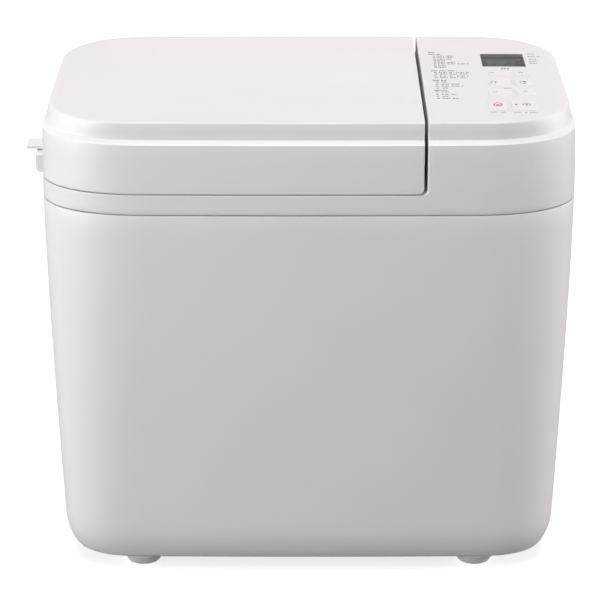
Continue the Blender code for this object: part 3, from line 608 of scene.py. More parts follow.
class Level:
    """The body's plan at one height: half sizes and corner radii."""

    def __init__(self, z, inset, inset_y, radii):
        self.z = z
        self.half_w, self.half_d = BODY_W / 2 - inset, BODY_D / 2 - inset_y
        self.rx, self.ry = max(3.0, radii[0]), max(3.0, radii[1])

    def right(self, split):
        """Front at split, round the right side, to the rear at split."""
        hw, hd = self.half_w, self.half_d
        cx, cy = hw - self.rx, hd - self.ry
        run = [(split, -hd)] + straight((split, -hd), (cx, -hd), EDGE_STEPS)
        run += corner(cx, -cy, self.rx, self.ry, -90)[1:]
        run += corner(cx, cy, self.rx, self.ry, 0)
        run += straight((cx, hd), (split, hd), EDGE_STEPS)
        return bulged(run, hd)

    def left(self, split):
        """Rear at split, round the left side, to the front at split."""
        hw, hd = self.half_w, self.half_d
        cx, cy = -(hw - self.rx), hd - self.ry
        run = [(split, hd)] + straight((split, hd), (cx, hd), EDGE_STEPS * 2)
        run += corner(cx, cy, self.rx, self.ry, 90)[1:]
        run += corner(cx, -cy, self.rx, self.ry, 180)
        run += straight((cx, -hd), (split, -hd), EDGE_STEPS * 2)
        return bulged(run, hd)

    def edge_y(self, x):
        return bulged([(x, self.half_d)], self.half_d)[0][1]

    def wall(self, x, side, radius, count):
        """A flat wall at x with rounded ends: side +1 closes a left part, -1 a right part."""
        y = self.edge_y(x)
        cx = x - side * radius
        first, second = (270, 0) if side > 0 else (90, 180)
        ends = corner(cx, -side * (y - radius), radius, radius, first, 6, 2.0)
        more = corner(cx, side * (y - radius), radius, radius, second, 6, 2.0)
        middle = straight(ends[-1], more[0], count - 13)[:-1]
        return ends + middle + more

    def full(self, split=0.0):
        ring = self.right(split) + self.left(split)[1:-1]
        return [(x, y, self.z) for x, y in ring]


def radii_between(a, b, t):
    return tuple(p + (q - p) * t for p, q in zip(a, b))


print("outlines have", len(Level(0, 0, 0, SEAM_CORNER).full()), "points")

# %% [markdown]
# ## Lower housing
#
# One tapered moulding from the feet to the seam. Its sides lean in gently, faster near the
# bottom, and roll under in a soft edge. The lean follows one power curve and the roll another,
# which keeps the highlight on the corners smooth from top to bottom.

# %% Lower housing
LEAN, LEAN_POWER = 9.0, 1.45
ROLL, ROLL_HEIGHT = 5.5, 26.0
LIP = 0.5
FOOT_EDGE_RISE, FOOT_EDGE_TUCK = 1.2, 1.6
SIDE_STEPS, SIDE_CROWDING = 34, 1.5
INSIDE_HEIGHTS = (SHELL_TOP, 240, 160, 80, 40, 20, BASE_Z)


def lower_level(z, extra=0.0):
    t = max(0.0, (SHELL_TOP - z) / (SHELL_TOP - BASE_Z))
    u = max(0.0, (BASE_Z + ROLL_HEIGHT - z) / ROLL_HEIGHT)
    inset = LEAN * t ** LEAN_POWER + ROLL * u * u
    radii = tuple(r - extra for r in radii_between(SEAM_CORNER, BASE_CORNER, t))
    return Level(z, inset + extra, inset * DEPTH_TAPER + extra, radii)


def lower_housing():
    heights = [BASE_Z + FOOT_EDGE_RISE * (1 - math.cos(math.radians(a))) for a in (0, 30, 60)]
    tucks = [FOOT_EDGE_TUCK * (1 - math.sin(math.radians(a))) for a in (0, 30, 60)]
    rings = [lower_level(z, tuck).full() for z, tuck in zip(heights, tucks)]
    start = BASE_Z + 2
    for i in range(SIDE_STEPS + 1):
        z = start + (SHELL_TOP - LIP - start) * (i / SIDE_STEPS) ** SIDE_CROWDING
        rings.append(lower_level(z).full())
    for a in (30, 60, 90):
        s, c = math.sin(math.radians(a)), math.cos(math.radians(a))
        rings.append(lower_level(SHELL_TOP - LIP * (1 - s), LIP * (1 - c)).full())
    inner = [lower_level(z, WALL).full() for z in INSIDE_HEIGHTS]
    form = bmesh.new()
    rows = add_loft(form, rings + inner, caps=False)
    count = len(rows[0])
    for j in range(count):
        k = (j + 1) % count
        form.faces.new((rows[-1][j], rows[-1][k], rows[0][k], rows[0][j]))
    return mesh_object("lower_shell", form)


def rod_tool(name, centre, radius, length, axis):
    """A round cutter along X, Y or Z."""
    turn = {"X": Matrix.Rotation(math.pi / 2, 4, "Y"), "Y": Matrix.Rotation(math.pi / 2, 4, "X"),
            "Z": Matrix.Identity(4)}[axis]
    form = bmesh.new()
    bmesh.ops.create_cone(form, cap_ends=True, segments=32, radius1=radius, radius2=radius,
                          depth=length, matrix=Matrix.Translation(centre) @ turn)
    return mesh_object(name, form)


gland_low, gland_high = span("cord_gland")
GLAND_HOLE_R, GLAND_CUT = 7.5, 40
gland_middle = (gland_low + gland_high) / 2
gland_hole = rod_tool("gland_hole", (gland_middle.x, gland_high.y, gland_middle.z),
                      GLAND_HOLE_R, GLAND_CUT, "Y")
lower_shell = install(carve(lower_housing(), gland_hole), "housing", shell_finish,
                      "lower_shell_white", "lower_housing")
print("lower shell:", len(lower_shell.data.polygons), "faces")

# %% [markdown]
# ## Upper housing
#
# The band under the lid and the control column are one moulding. To keep the outside unbroken,
# the loft starts as the whole outline, turns over onto the deck under the lid, and there its
# left half folds in to the column's flat wall. From there on the outline is the column alone.

# %% Upper housing profile
EDGE_R = 1.3
EDGE_LOW = 359.6
WALL_CORNER = 1.2
# (height, side inset, front and rear inset, blend to the top's corner): ledge, upper band, top
PROFILE = ((343.6, 0.95, 1.0, 0.09), (344.15, 1.0, 1.12, 0.10), (344.35, 1.1, 1.35, 0.11),
           (344.5, 1.25, 1.7, 0.13), (346.5, 2.35, 4.2, 0.28), (346.75, 2.5, 4.9, 0.31),
           (347.0, 2.62, 5.25, 0.34), (352.0, 3.75, 5.4, 0.62), (358.5, 4.95, 5.5, 0.99),
           (359.1, 5.15, 5.78, 1.0), (359.5, 5.5, 6.1, 1.0), (359.78, 6.2, 6.6, 1.0),
           (360.0, 7.6, 7.6, 1.0), (360.4, 11.5, 11.5, 1.0), (360.8, 20.0, 20.0, 1.0),
           (361.05, 32.0, 32.0, 1.0), (361.15, 50.0, 50.0, 1.0))
TOP_Z = 361.2
BAND_INSET = 5.6
HOLLOW_STEPS = PROFILE[1:2] + PROFILE[5::3]
UPPER_RISE = ((320.0, 0.35, 0.35, 0.03), (332.0, 0.66, 0.67, 0.06)) + PROFILE


def upper_level(z, inset, inset_y, blend, extra=0.0):
    shrink = max(0.0, inset - BAND_INSET) + extra
    radii = tuple(r - shrink for r in radii_between(SEAM_CORNER, TOP_CORNER, blend))
    return Level(z - extra, inset + extra, inset_y + extra, radii)


def wall_ease(z):
    """How far a wall beside the lid gap has rolled back near the top."""
    t = min(1.0, max(0.0, (z - EDGE_LOW) / (TOP_Z - EDGE_LOW)))
    return EDGE_R * (1 - math.sqrt(max(0.0, 1 - t * t)))


def column_ring(level, wall_x):
    right = level.right(wall_x + WALL_CORNER)
    left_count = len(level.left(0.0))
    wall = level.wall(wall_x, -1, WALL_CORNER, left_count)
    return [(x, y, level.z) for x, y in right + wall[1:-1]]


TUCK_FADE = 8.0


def split_ring(z, tuck, split):
    """The whole outline, with only its part under the lid tucked in."""
    level, inner = Level(z, 0, 0, SEAM_CORNER), Level(z, tuck, tuck, SEAM_CORNER)
    ring = level.right(split)
    for (x, y), (u, v) in zip(level.left(split)[1:-1], inner.left(split)[1:-1]):
        share = min(1.0, (split - x) / TUCK_FADE)
        ring.append((x + (u - x) * share, y + (v - y) * share))
    return [(x, y, z) for x, y in ring]


def upper_outside():
    split = COLUMN_LEFT - FILLET + WALL_CORNER
    rings = [split_ring(BAND_LOW + rise, 0.0, split) for rise in (0.5, 4.0, 9.0, 13.5)]
    first = Level(BAND_LOW, LIP, LIP, SEAM_CORNER).full(split)
    second = Level(BAND_LOW + 0.15, LIP * 0.3, LIP * 0.3, SEAM_CORNER).full(split)
    rings = [first, second] + rings
    rings += [split_ring(DECK_Z - LIP * (1 - math.sin(math.radians(a))),
                         LIP * (1 - math.cos(math.radians(a))), split) for a in (0, 30, 60, 90)]
    for a in (0, 15, 30, 45, 60, 75, 90):
        s, c = math.sin(math.radians(a)), math.cos(math.radians(a))
        level = Level(DECK_Z + FILLET * (1 - c), 0, 0, SEAM_CORNER)
        rings.append(column_ring(level, COLUMN_LEFT - FILLET * (1 - s)))
    for step in UPPER_RISE:
        rings.append(column_ring(upper_level(*step), COLUMN_LEFT + wall_ease(step[0])))
    return rings


print("upper profile has", len(PROFILE), "steps")

# %% [markdown]
# ## Openings in the panel
#
# The real moulding has a cut-out for each key and for the display, a hollow inside, and a mouth
# over the baking chamber. Each is a lofted block that is cut away with a Boolean. The key
# cut-outs leave a hairline round each key, as the real ones do.

# %% Upper housing and its openings
KEYS = ("key_menu_down", "key_menu_up", "key_size", "key_crust",
        "key_timer_down", "key_timer_up", "key_stop", "key_start")
KEY_SPANS = {}
KEY_SLIT = 0.1
for key in KEYS:
    low, high = span(key)
    KEY_SPANS[key] = (low.x + 1, high.x - 1, low.y + 1, high.y - 1)
window_low, window_high = span("lcd_window")
LCD = (window_low.x - 0.4, window_high.x + 0.4, window_low.y - 0.4, window_high.y + 0.4)


def pad_ring(z, box, grow, radius, steps=6):
    """A small rounded rectangle: keys, windows and cut-outs."""
    x0, x1, y0, y1 = box[0] - grow, box[1] + grow, box[2] - grow, box[3] + grow
    ring = corner(x1 - radius, y0 + radius, radius, radius, -90, steps, 2.4)
    ring += corner(x1 - radius, y1 - radius, radius, radius, 0, steps, 2.4)
    ring += corner(x0 + radius, y1 - radius, radius, radius, 90, steps, 2.4)
    ring += corner(x0 + radius, y0 + radius, radius, radius, 180, steps, 2.4)
    return [(x, y, z) for x, y in ring]


def tub_ring(z, half, radius, steps=10):
    hx, hy = half
    return pad_ring(z, (DRIVE_X - hx, DRIVE_X + hx, -hy, hy), 0, radius, steps)


PANEL_CUT = (350, 370)
MOUTH_CUT = (296, 315)
MOUTH_HALF, MOUTH_CORNER = (114, 89), 24
COLUMN_SKIN, COLUMN_SIDE = 2.4, 2.5
BAND_HOLLOW_LOW = 285


def panel_tool():
    form = bmesh.new()
    for box in KEY_SPANS.values():
        add_loft(form, [pad_ring(z, box, KEY_SLIT, 1.8) for z in PANEL_CUT])
    add_loft(form, [pad_ring(z, LCD, 0.0, 1.2) for z in PANEL_CUT])
    return mesh_object("panel_tool", form)


def upper_housing():
    shell = loft("upper_shell", upper_outside())
    thin = tuple(r - WALL for r in SEAM_CORNER)
    band = [Level(z, WALL, WALL, thin).full() for z in (BAND_HOLLOW_LOW, DECK_Z - 2.5)]
    column = [column_ring(Level(DECK_Z - 3, WALL, WALL, thin), COLUMN_LEFT + COLUMN_SIDE)]
    column += [column_ring(upper_level(*step, COLUMN_SKIN), COLUMN_LEFT + COLUMN_SIDE)
               for step in HOLLOW_STEPS]
    mouth = [tub_ring(z, MOUTH_HALF, MOUTH_CORNER) for z in MOUTH_CUT]
    return carve(shell, loft("band_tool", band), loft("column_tool", column),
                 loft("mouth_tool", mouth), panel_tool())


upper_shell = install(upper_housing(), "housing", shell_finish, "upper_shell_white", "upper_housing")
print("upper shell:", len(upper_shell.data.polygons), "faces")

# %% [markdown]
# ## Lid
#
# The lid is a deep cap that repeats the column's outside, so that ledge and top run on across
# the gap. Its lower edge is lightly rounded, and its right edge turns up in the same fillet as
# the column. At the rear it is cut away for the hinge lugs.

# %% Lid shell
WALL_POINTS = 60


def lid_ring(level, wall_x):
    left = level.left(wall_x - WALL_CORNER)
    wall = level.wall(wall_x, 1, WALL_CORNER, WALL_POINTS)
    return [(x, y, level.z) for x, y in left + wall[1:-1]]


def lid_outside():
    rings = []
    for a in (0, 15, 30, 45, 60, 75, 90):
        s, c = math.sin(math.radians(a)), math.cos(math.radians(a))
        rise, roll = FILLET * (1 - c), FILLET * (1 - s)
        tuck = LIP * max(0.0, 1 - rise / LIP) ** 2
        rings.append(lid_ring(Level(LID_LOW + rise, tuck, tuck, SEAM_CORNER), LID_RIGHT - roll))
    for step in UPPER_RISE:
        rings.append(lid_ring(upper_level(*step), LID_RIGHT - wall_ease(step[0])))
    return rings


def lid_inside():
    rings = [lid_ring(upper_level(*step, WALL), LID_RIGHT - WALL)
             for step in HOLLOW_STEPS[::-1]]
    thin = tuple(r - WALL for r in SEAM_CORNER)
    for a in (90, 60, 30, 0):
        s, c = math.sin(math.radians(a)), math.cos(math.radians(a))
        level = Level(LID_LOW + FILLET * (1 - c), WALL, WALL, thin)
        rings.append(lid_ring(level, LID_RIGHT - WALL - FILLET * (1 - s)))
    return rings


LUG_R, LUG_W, LID_LUG_W, LUG_GAP = 4.0, 12.0, 16.0, 0.5
HINGES = [sum(p.x for p in span("hinge_pin_" + side)) / 2 for side in ("left", "right")]
LUG_REACH = (LID_LUG_W + LUG_W) / 2 + LUG_GAP
FRAME_LUGS = [x + side * LUG_REACH for x in HINGES for side in (-1, 1)]


def block_tool(name, blocks):
    form = bmesh.new()
    for x0, x1, y0, y1, z0, z1 in blocks:
        place = Matrix.Translation(((x0 + x1) / 2, (y0 + y1) / 2, (z0 + z1) / 2))
        size = Matrix.Diagonal((x1 - x0, y1 - y0, z1 - z0, 1))
        bmesh.ops.create_cube(form, size=1.0, matrix=place @ size)
    return mesh_object(name, form)


CUT_LEFT, CUT_RIGHT, CUT_REAR, CUT_LOW = -181, 90, 132, 300
HINGE_CUT_Y, HINGE_CUT_RISE = 109.5, 0.5
NOTCH_Y, NOTCH_RISE, NOTCH_ROOM = 108.5, 5.4, 0.6


def lid_cover():
    shell = loft("lid_shell", lid_inside() + lid_outside())
    clear = block_tool("hinge_tool", [(CUT_LEFT, CUT_RIGHT, HINGE_CUT_Y, CUT_REAR, CUT_LOW,
                                       HINGE_Z + HINGE_CUT_RISE)])
    half = LUG_W / 2 + NOTCH_ROOM
    notch = [(x - half, x + half, NOTCH_Y, CUT_REAR, CUT_LOW, HINGE_Z + NOTCH_RISE)
             for x in FRAME_LUGS]
    return carve(shell, clear, block_tool("notch_tool", notch))


lid_shell = install(lid_cover(), "lid", lid_finish, "lid_white", "lid_cover")
print("lid shell:", len(lid_shell.data.polygons), "faces")

# %% [markdown]
# ## Lid tab, its rest, and the hinge lugs
#
# The tab is a thin rounded plate that a finger lifts. Under it the band swells into a small
# rest. The hinge lugs at the rear are flat plates with round ends. All are outlines pushed to a
# thickness and then bevelled, which is how such small features look on the tool drawing.

# %% Plates
UPRIGHT = Matrix(((1, 0, 0), (0, 0, -1), (0, 1, 0))).to_4x4()
SIDEWAYS = Matrix(((0, 0, 1), (1, 0, 0), (0, 1, 0))).to_4x4()


def plate(name, outlines, thickness, matrices, edge=0.4):
    """Copies of one outline, pushed to a thickness at each matrix, with bevelled edges."""
    form = bmesh.new()
    for outline, matrix in zip(outlines, matrices):
        low = [form.verts.new((matrix @ Vector((u, v, -thickness / 2)))) for u, v in outline]
        high = [form.verts.new((matrix @ Vector((u, v, thickness / 2)))) for u, v in outline]
        for j in range(len(outline)):
            k = (j + 1) % len(outline)
            form.faces.new((low[j], low[k], high[k], high[j]))
        form.faces.new(low[::-1])
        form.faces.new(high)
    obj = mesh_object(name, form, 40)
    bevel = obj.modifiers.new("edge", "BEVEL")
    bevel.width = edge * MM
    bevel.segments = 4
    bevel.limit_method = "ANGLE"
    bevel.angle_limit = math.radians(40)
    return obj


tab_left, tab_right = lid_low.x, -193.0
TAB_MIDDLE_Y, TAB_DEEP, REST_MIDDLE_Y, REST_DEEP = -5.0, 20.0, -14.0, 22.0
TAB_EDGE = 0.9
rest_left = upper_low.x
TAB = [(tab_right, LID_LOW + 0.1), (tab_left + 0.6, LID_LOW + 0.1), (tab_left + 0.1, LID_LOW + 0.6),
       (tab_left + 0.1, LID_LOW + 1.6), (tab_left + 0.8, LID_LOW + 2.4), (tab_right, LID_LOW + 2.8)]
REST = [(tab_right, BAND_LOW + 0.3), (rest_left + 4.8, BAND_LOW + 0.3)]
REST += [(rest_left + 4.1 + 4.0 * math.cos(a), BAND_LOW + 4.3 + 4.0 * math.sin(a))
         for a in [math.radians(270 - 15 * i) for i in range(7)]]
REST += [(rest_left + 0.1, DECK_Z - 0.3), (tab_right, DECK_Z - 0.3)]
tab_plane = Matrix.Translation((0, TAB_MIDDLE_Y, 0)) @ UPRIGHT
rest_plane = Matrix.Translation((0, REST_MIDDLE_Y, 0)) @ UPRIGHT
lid_tab = plate("lid_tab", [TAB], TAB_DEEP, [tab_plane], TAB_EDGE)
install(lid_tab, "lid", lid_finish, "lid_white")
tab_rest = plate("tab_rest", [REST], REST_DEEP, [rest_plane], TAB_EDGE)
install(tab_rest, "housing", shell_finish, "upper_shell_white")


def lug_outline(end, upwards):
    """A lug in YZ: round about the hinge line, straight to end."""
    start = 0 if upwards else 180
    arc = [(HINGE_Y + LUG_R * math.cos(a), HINGE_Z + LUG_R * math.sin(a))
           for a in [math.radians(start + 180 * i / 16) for i in range(17)]]
    side = -LUG_R if upwards else LUG_R
    return arc + [(HINGE_Y + side, end), (HINGE_Y - side, end)]


frame_places = [Matrix.Translation((x, 0, 0)) @ SIDEWAYS for x in FRAME_LUGS]
lid_places = [Matrix.Translation((x, 0, 0)) @ SIDEWAYS for x in HINGES]
frame_lugs = plate("frame_lugs", [lug_outline(DECK_Z - 1.5, True)] * 4, LUG_W, frame_places)
lid_lugs = plate("lid_lugs", [lug_outline(HINGE_Z + 9, False)] * 2, LID_LUG_W, lid_places)
install(frame_lugs, "housing", shell_finish, "upper_shell_white")
install(lid_lugs, "lid", lid_finish, "lid_white")
print("tab, rest and", len(FRAME_LUGS) + len(HINGES), "lugs made")

# %% [markdown]
# ## Feet
#
# Each foot is a turned rubber disc, wider at the top, with a rounded tread edge and a shallow
# recess underneath, so it is made by spinning a profile.

# %% Turned pieces
TURN_STEPS = 48


def turned(name, profile, x, y):
    """Spin (radius, height) points about a vertical line; a zero radius closes the end."""
    form = bmesh.new()
    rows = []
    for radius, z in profile:
        if radius == 0:
            rows.append([form.verts.new((x, y, z))])
            continue
        rows.append([form.verts.new((x + radius * math.cos(a), y + radius * math.sin(a), z))
                     for a in [2 * math.pi * i / TURN_STEPS for i in range(TURN_STEPS)]])
    closed = profile[0][0] > 0
    for low, high in zip(rows, rows[1:] + (rows[:1] if closed else [])):
        for j in range(TURN_STEPS):
            k = (j + 1) % TURN_STEPS
            loop = [low[j % len(low)], low[k % len(low)], high[k % len(high)], high[j % len(high)]]
            unique = list(dict.fromkeys(loop))
            if len(unique) > 2:
                form.faces.new(unique)
    return mesh_object(name, form)


def foot_profile(top):
    profile = [(0, 1.2), (8.0, 1.2), (8.8, 0.2), (9.2, 0.0), (11.6, 0.0)]
    profile += [(12.2, 0.15), (12.7, 0.7), (14.4, 4.0), (16.2, 7.2)]
    return profile + [(16.8, 8.0), (16.8, top - 0.2), (16.5, top), (0, top)]


for end in ("front_left", "rear_left", "front_right", "rear_right"):
    low, high = span("foot_" + end)
    middle = (low + high) / 2
    foot = turned("foot_%s_turned" % end, foot_profile(high.z), middle.x, middle.y)
    install(foot, "housing", foot_finish, "foot_grey", "foot_" + end)
print("four feet turned")

# %% [markdown]
# ## Keys and display
#
# The keys are shallow pillowed caps that barely stand above the panel, with a retaining flange
# underneath. The display sits in a dark frame below its clear cover.

# %% Keys
KEY_TOP = span("key_stop")[1].z
EDGE_DROP = 0.85
# (drop below the top, reach inwards, corner radius) of the pillowed face
PILLOW = ((0.44, 0.8, 1.5), (0.32, 1.6, 1.2), (0.20, 2.8, 1.0), (0.11, 4.2, 0.8), (0.05, 5.8, 0.6))


def key_cap(key):
    box = KEY_SPANS[key]
    low = span(key)[0].z
    rings = [pad_ring(low, box, 0.9, 2.0), pad_ring(low + 1.4, box, 0.9, 2.0),
             pad_ring(low + 1.5, box, 0, 1.7), pad_ring(KEY_TOP - EDGE_DROP, box, 0, 1.7)]
    rings += [pad_ring(KEY_TOP - EDGE_DROP + 0.3 * math.sin(math.radians(a)), box,
                       -0.3 * (1 - math.cos(math.radians(a))), 1.6) for a in (30, 60, 85)]
    rings += [pad_ring(KEY_TOP - drop, box, -reach, radius) for drop, reach, radius in PILLOW]
    return loft(key + "_cap", rings, 35)


caps = {key: install(key_cap(key), key, key_finish, "key_white", key) for key in KEYS}
print(len(KEYS), "keys made")

# %% [markdown]
# ## Display
#
# Three parts lie over one another: the dark frame, the grey-green field and the clear cover. They
# could be one block with a picture on it, but separate sheets give the real depth under the
# cover.

# %% Display
module_low, module_high = span("lcd_module")
window_top = window_high.z
GLASS = (LCD[0] + 4.5, LCD[1] - 7.0, LCD[2] + 2.5, LCD[3] - 8.5)


def display():
    box = (module_low.x, module_high.x, module_low.y, module_high.y)
    body = [pad_ring(module_low.z, box, 0, 1.0), pad_ring(module_high.z - 0.4, box, 0, 1.0),
            pad_ring(module_high.z, box, -0.4, 1.0)]
    frame_piece = install(loft("lcd_frame", body), "housing", bezel_finish, "display", "lcd_module")
    field = [pad_ring(module_high.z + rise, GLASS, grow, 0.8)
             for rise, grow in ((0.02, 0), (0.3, 0), (0.4, -0.2))]
    screen = install(loft("lcd_field_sheet", field), "housing", screen_finish, "display")
    sheet = [pad_ring(window_top - drop, LCD, grow, 1.2)
             for drop, grow in ((1.6, -0.1), (0.15, -0.1), (0.0, -0.25))]
    install(loft("lcd_cover_sheet", sheet), "housing", window_finish, "window_clear", "lcd_window")
    return frame_piece, screen


lcd_frame, lcd_screen = display()
print("display made")

# %% [markdown]
# ## Printed marks
#
# The panel carries a menu list, labels and key symbols. Lettering would tie the machine to a
# maker and a language, so the list is drawn as rows of short strokes, and the symbols are plain
# arrows, a loaf, a half-filled circle, a stop mark and a start mark. Each mark is a thin flat
# solid, just proud of the surface that it is printed on.

# %% Strokes and marks
INK_H = 0.04
DROP_FROM = 0.5


class Sheet:
    """A collection of thin flat marks laid on one object's upper face."""

    def __init__(self, surface):
        self.form, self.surface = bmesh.new(), surface

    def height(self, x, y):
        """The surface's height at a point, found by looking down on it."""
        start = Vector(((x + MIDDLE_X) * MM, y * MM, DROP_FROM))
        place = self.surface.ray_cast(start, Vector((0, 0, -1)))[1]
        return place.z / MM

    def patch(self, points):
        heights = [self.height(x, y) for x, y in points]
        low = [self.form.verts.new((x, y, z - 0.01)) for (x, y), z in zip(points, heights)]
        high = [self.form.verts.new((x, y, z + INK_H)) for (x, y), z in zip(points, heights)]
        for j in range(len(points)):
            k = (j + 1) % len(points)
            self.form.faces.new((low[j], low[k], high[k], high[j]))
        self.form.faces.new(low[::-1])
        self.form.faces.new(high)

    def bar(self, x0, x1, y0, y1):
        self.patch([(x0, y0), (x1, y0), (x1, y1), (x0, y1)])

    def word(self, x0, x1, y, tall=2.5, pitch=1.25):
        """Small strokes of uneven height, as a line of print looks from a distance."""
        count = max(2, int((x1 - x0) / pitch))
        for i in range(count):
            if i % 6 == 5:
                continue
            x = x0 + i * pitch
            height = tall * (0.62 + 0.38 * ((i * 7 + int(y)) % 3 == 0))
            self.bar(x, x + 0.62, y, y + height)
            if i % 2 == 0 and i + 1 < count and (i + 1) % 6 != 5:
                self.bar(x + 0.62, x + pitch, y + 0.1, y + 0.9)

    def loop(self, points, width):
        """A closed outline of even width, as one strip of quads."""
        count = len(points)
        middle = Vector((sum(p[0] for p in points) / count, sum(p[1] for p in points) / count))
        inner = []
        for x, y in points:
            away = Vector((x, y)) - middle
            inner.append(tuple(middle + away * (1 - width / away.length)))
        for j in range(count):
            k = (j + 1) % count
            self.patch([points[j], points[k], inner[k], inner[j]])

    def done(self, name, body, finish, slot):
        return install(mesh_object(name, self.form), body, finish, slot)


MENU_X = 92.3
# (row's Y, its words' starts and ends) in four groups under short headings
MENU_ROWS = ((53.5, ((3, 4), (6, 20))), (49.0, ((3, 4), (6, 19))), (44.5, ((3, 4), (6, 18))),
             (40.0, ((3, 4), (6, 14))), (36.0, ((3, 4), (6, 21))), (31.5, ((3, 4), (6, 30))),
             (26.0, ((3, 4), (6, 14))), (21.5, ((3, 4), (6, 14))), (7.5, ((2, 4), (6, 17), (19, 29))),
             (3.5, ((2, 4), (6, 28))), (-2.0, ((2, 4), (6, 17), (19, 28))), (-6.5, ((2, 4), (6, 27))),
             (-18.0, ((2, 4), (6, 12))), (-23.5, ((2, 4), (6, 20))), (-28.5, ((2, 4), (6, 23))),
             (-33.5, ((2, 4), (6, 12))), (-43.5, ((1, 4), (5, 12))), (-50.0, ((1, 4), (5, 17))),
             (-55.0, ((1, 4), (5, 10))), (-60.0, ((1, 3), (5, 18))))
MENU_HEADINGS = ((64.5, 5.5), (59.0, 9.5), (13.0, 18.0), (-13.0, 10.5), (-39.0, 10.0))
SIDE_X = 168.5
SIDE_LABELS = ((60, 7), (52.5, 11), (45.5, 7), (39.5, 8.5), (33.5, 7.5))
MENU_LABEL = (145.5, 147.7, 150.0)
START_LABELS, START_LABEL_Y = ((130, 142), (147, 157), (158, 165)), -95.0
TIMER_LABEL, TIMER_LABEL_Y = (144, 152), -35.6


def menu_print():
    marks = Sheet(upper_shell)
    for y, words in MENU_ROWS:
        for start, end in words:
            marks.word(MENU_X + start, MENU_X + end, y - 1.5)
    for y, length in MENU_HEADINGS:
        marks.word(MENU_X, MENU_X + length, y - 2.2, 2.9, 1.05)
    for y, length in SIDE_LABELS:
        marks.word(SIDE_X, SIDE_X + length, y - 1.0, 2.0)
    for x in MENU_LABEL:
        marks.bar(x, x + 1.5, 16.4, 18.8)
    marks.done("menu_print", "housing", ink_grey, "lower_shell_white")
    faint = Sheet(upper_shell)
    faint.word(*TIMER_LABEL, TIMER_LABEL_Y, 2.6)
    for x0, x1 in START_LABELS:
        faint.word(x0, x1, START_LABEL_Y, 1.8)
    faint.done("label_print", "housing", ink_faint, "lower_shell_white")


menu_print()
print("menu printed")


# %% [markdown]
# ## Symbols on the keys and on the display
#
# Each symbol is drawn from arcs and bars in code rather than taken from a font, so that it stays
# plain. It rides on its own key, and goes down with it. The display's digits are bars too.

# %% Key symbols
def ring_points(cx, cy, rx, ry, steps=28, start=0.0):
    return [(cx + rx * math.cos(a), cy + ry * math.sin(a))
            for a in [math.radians(start + 360 * i / steps) for i in range(steps)]]


def chevron(marks, cx, cy, size, up):
    lift = size * (0.5 if up else -0.5)
    points = [(cx - size, cy - lift), (cx - size * 0.7, cy - lift * 1.5), (cx, cy + lift * 0.3),
              (cx + size * 0.7, cy - lift * 1.5), (cx + size, cy - lift), (cx, cy + lift)]
    marks.patch(points if up else points[::-1])


# (key, X, Y, pointing up)
ARROWS = (("key_menu_down", 137.8, 4.3, False), ("key_menu_up", 159.3, 5.0, True),
          ("key_timer_down", 136.6, -47.2, False), ("key_timer_up", 158.6, -46.0, True))
ARROW_SIZE = 1.8


def key_symbols():
    plans = {key: Sheet(caps[key]) for key in KEYS}
    for key, x, y, up in ARROWS:
        chevron(plans[key], x, y, ARROW_SIZE, up)
    x, y = 137.0, -21.4
    loaf = [(x - 1.9, y - 2.6), (x + 1.9, y - 2.6), (x + 1.9, y + 0.6)]
    loaf += [(x + 2.4 * math.cos(a), y + 0.8 + 2.4 * math.sin(a))
             for a in [math.radians(20 * i) for i in range(10)]] + [(x - 1.9, y + 0.6)]
    plans["key_size"].loop(loaf, 0.6)
    x = 159.0
    plans["key_crust"].loop(ring_points(x, y, 2.4, 3.3), 0.45)
    plans["key_crust"].patch([(x + 2.3 * math.cos(a), y + 3.2 * math.sin(a))
                              for a in [math.radians(-90 + 15 * i) for i in range(13)]])
    x, y = 136.4, -78.4
    plans["key_stop"].loop(ring_points(x, y, 3.4, 5.0, 8, 22.5), 1.1)
    plans["key_stop"].bar(x - 1.4, x + 1.4, y - 2.6, y)
    plans["key_start"].patch(ring_points(149.6, y, 1.0, 1.4, 16))
    x = 157.2
    plans["key_start"].loop([(x - 3.3, y), (x, y - 4.6), (x + 3.3, y), (x, y + 4.6)], 0.55)
    plans["key_start"].bar(x - 0.4, x + 0.4, y - 2.2, y + 2.2)
    for key, marks in plans.items():
        finish = ink_red if key == "key_stop" else ink_grey
        marks.done(key + "_symbol", key, finish, "key_white")


key_symbols()


# seven-segment bars lit in each digit: a is the top one, then clockwise, and g is the middle one
DIGITS = ("abcdef", "bc", "abged")
DIGIT_W, DIGIT_H, DIGIT_PITCH = 3.2, 4.6, 5.2
TICKS, TICK_W, TICK_PITCH = 6, 1.8, 3.2


def lcd_segments():
    """A time in seven-segment bars over a row of tick marks, and the frame's pale band."""
    marks = Sheet(lcd_screen)
    for digit, bars in enumerate(DIGITS):
        x, y = GLASS[0] + 5.0 + digit * DIGIT_PITCH, GLASS[2] + 6.0
        right, middle, top = x + DIGIT_W, y + DIGIT_H, y + 2 * DIGIT_H
        upper, lower = (middle + 0.4, top - 0.7), (y + 0.7, middle - 0.4)
        parts = {"a": (x, right, top - 0.6, top), "g": (x, right, middle - 0.3, middle + 0.3),
                 "d": (x, right, y, y + 0.6), "b": (right - 0.6, right, *upper),
                 "c": (right - 0.6, right, *lower), "f": (x, x + 0.6, *upper),
                 "e": (x, x + 0.6, *lower)}
        for bar in bars:
            marks.bar(*parts[bar])
    for i in range(TICKS):
        x = GLASS[0] + 2.4 + i * TICK_PITCH
        marks.bar(x, x + TICK_W, GLASS[2] + 0.4, GLASS[2] + 2.4)
    marks.done("lcd_marks", "housing", bezel_finish, "display")
    band = Sheet(lcd_frame)
    band.bar(LCD[0] + 1.5, LCD[1] - 1.5, GLASS[3] + 0.5, LCD[3] - 2.5)
    band.done("lcd_band", "housing", band_finish, "display")


lcd_segments()
print("symbols and segments made")

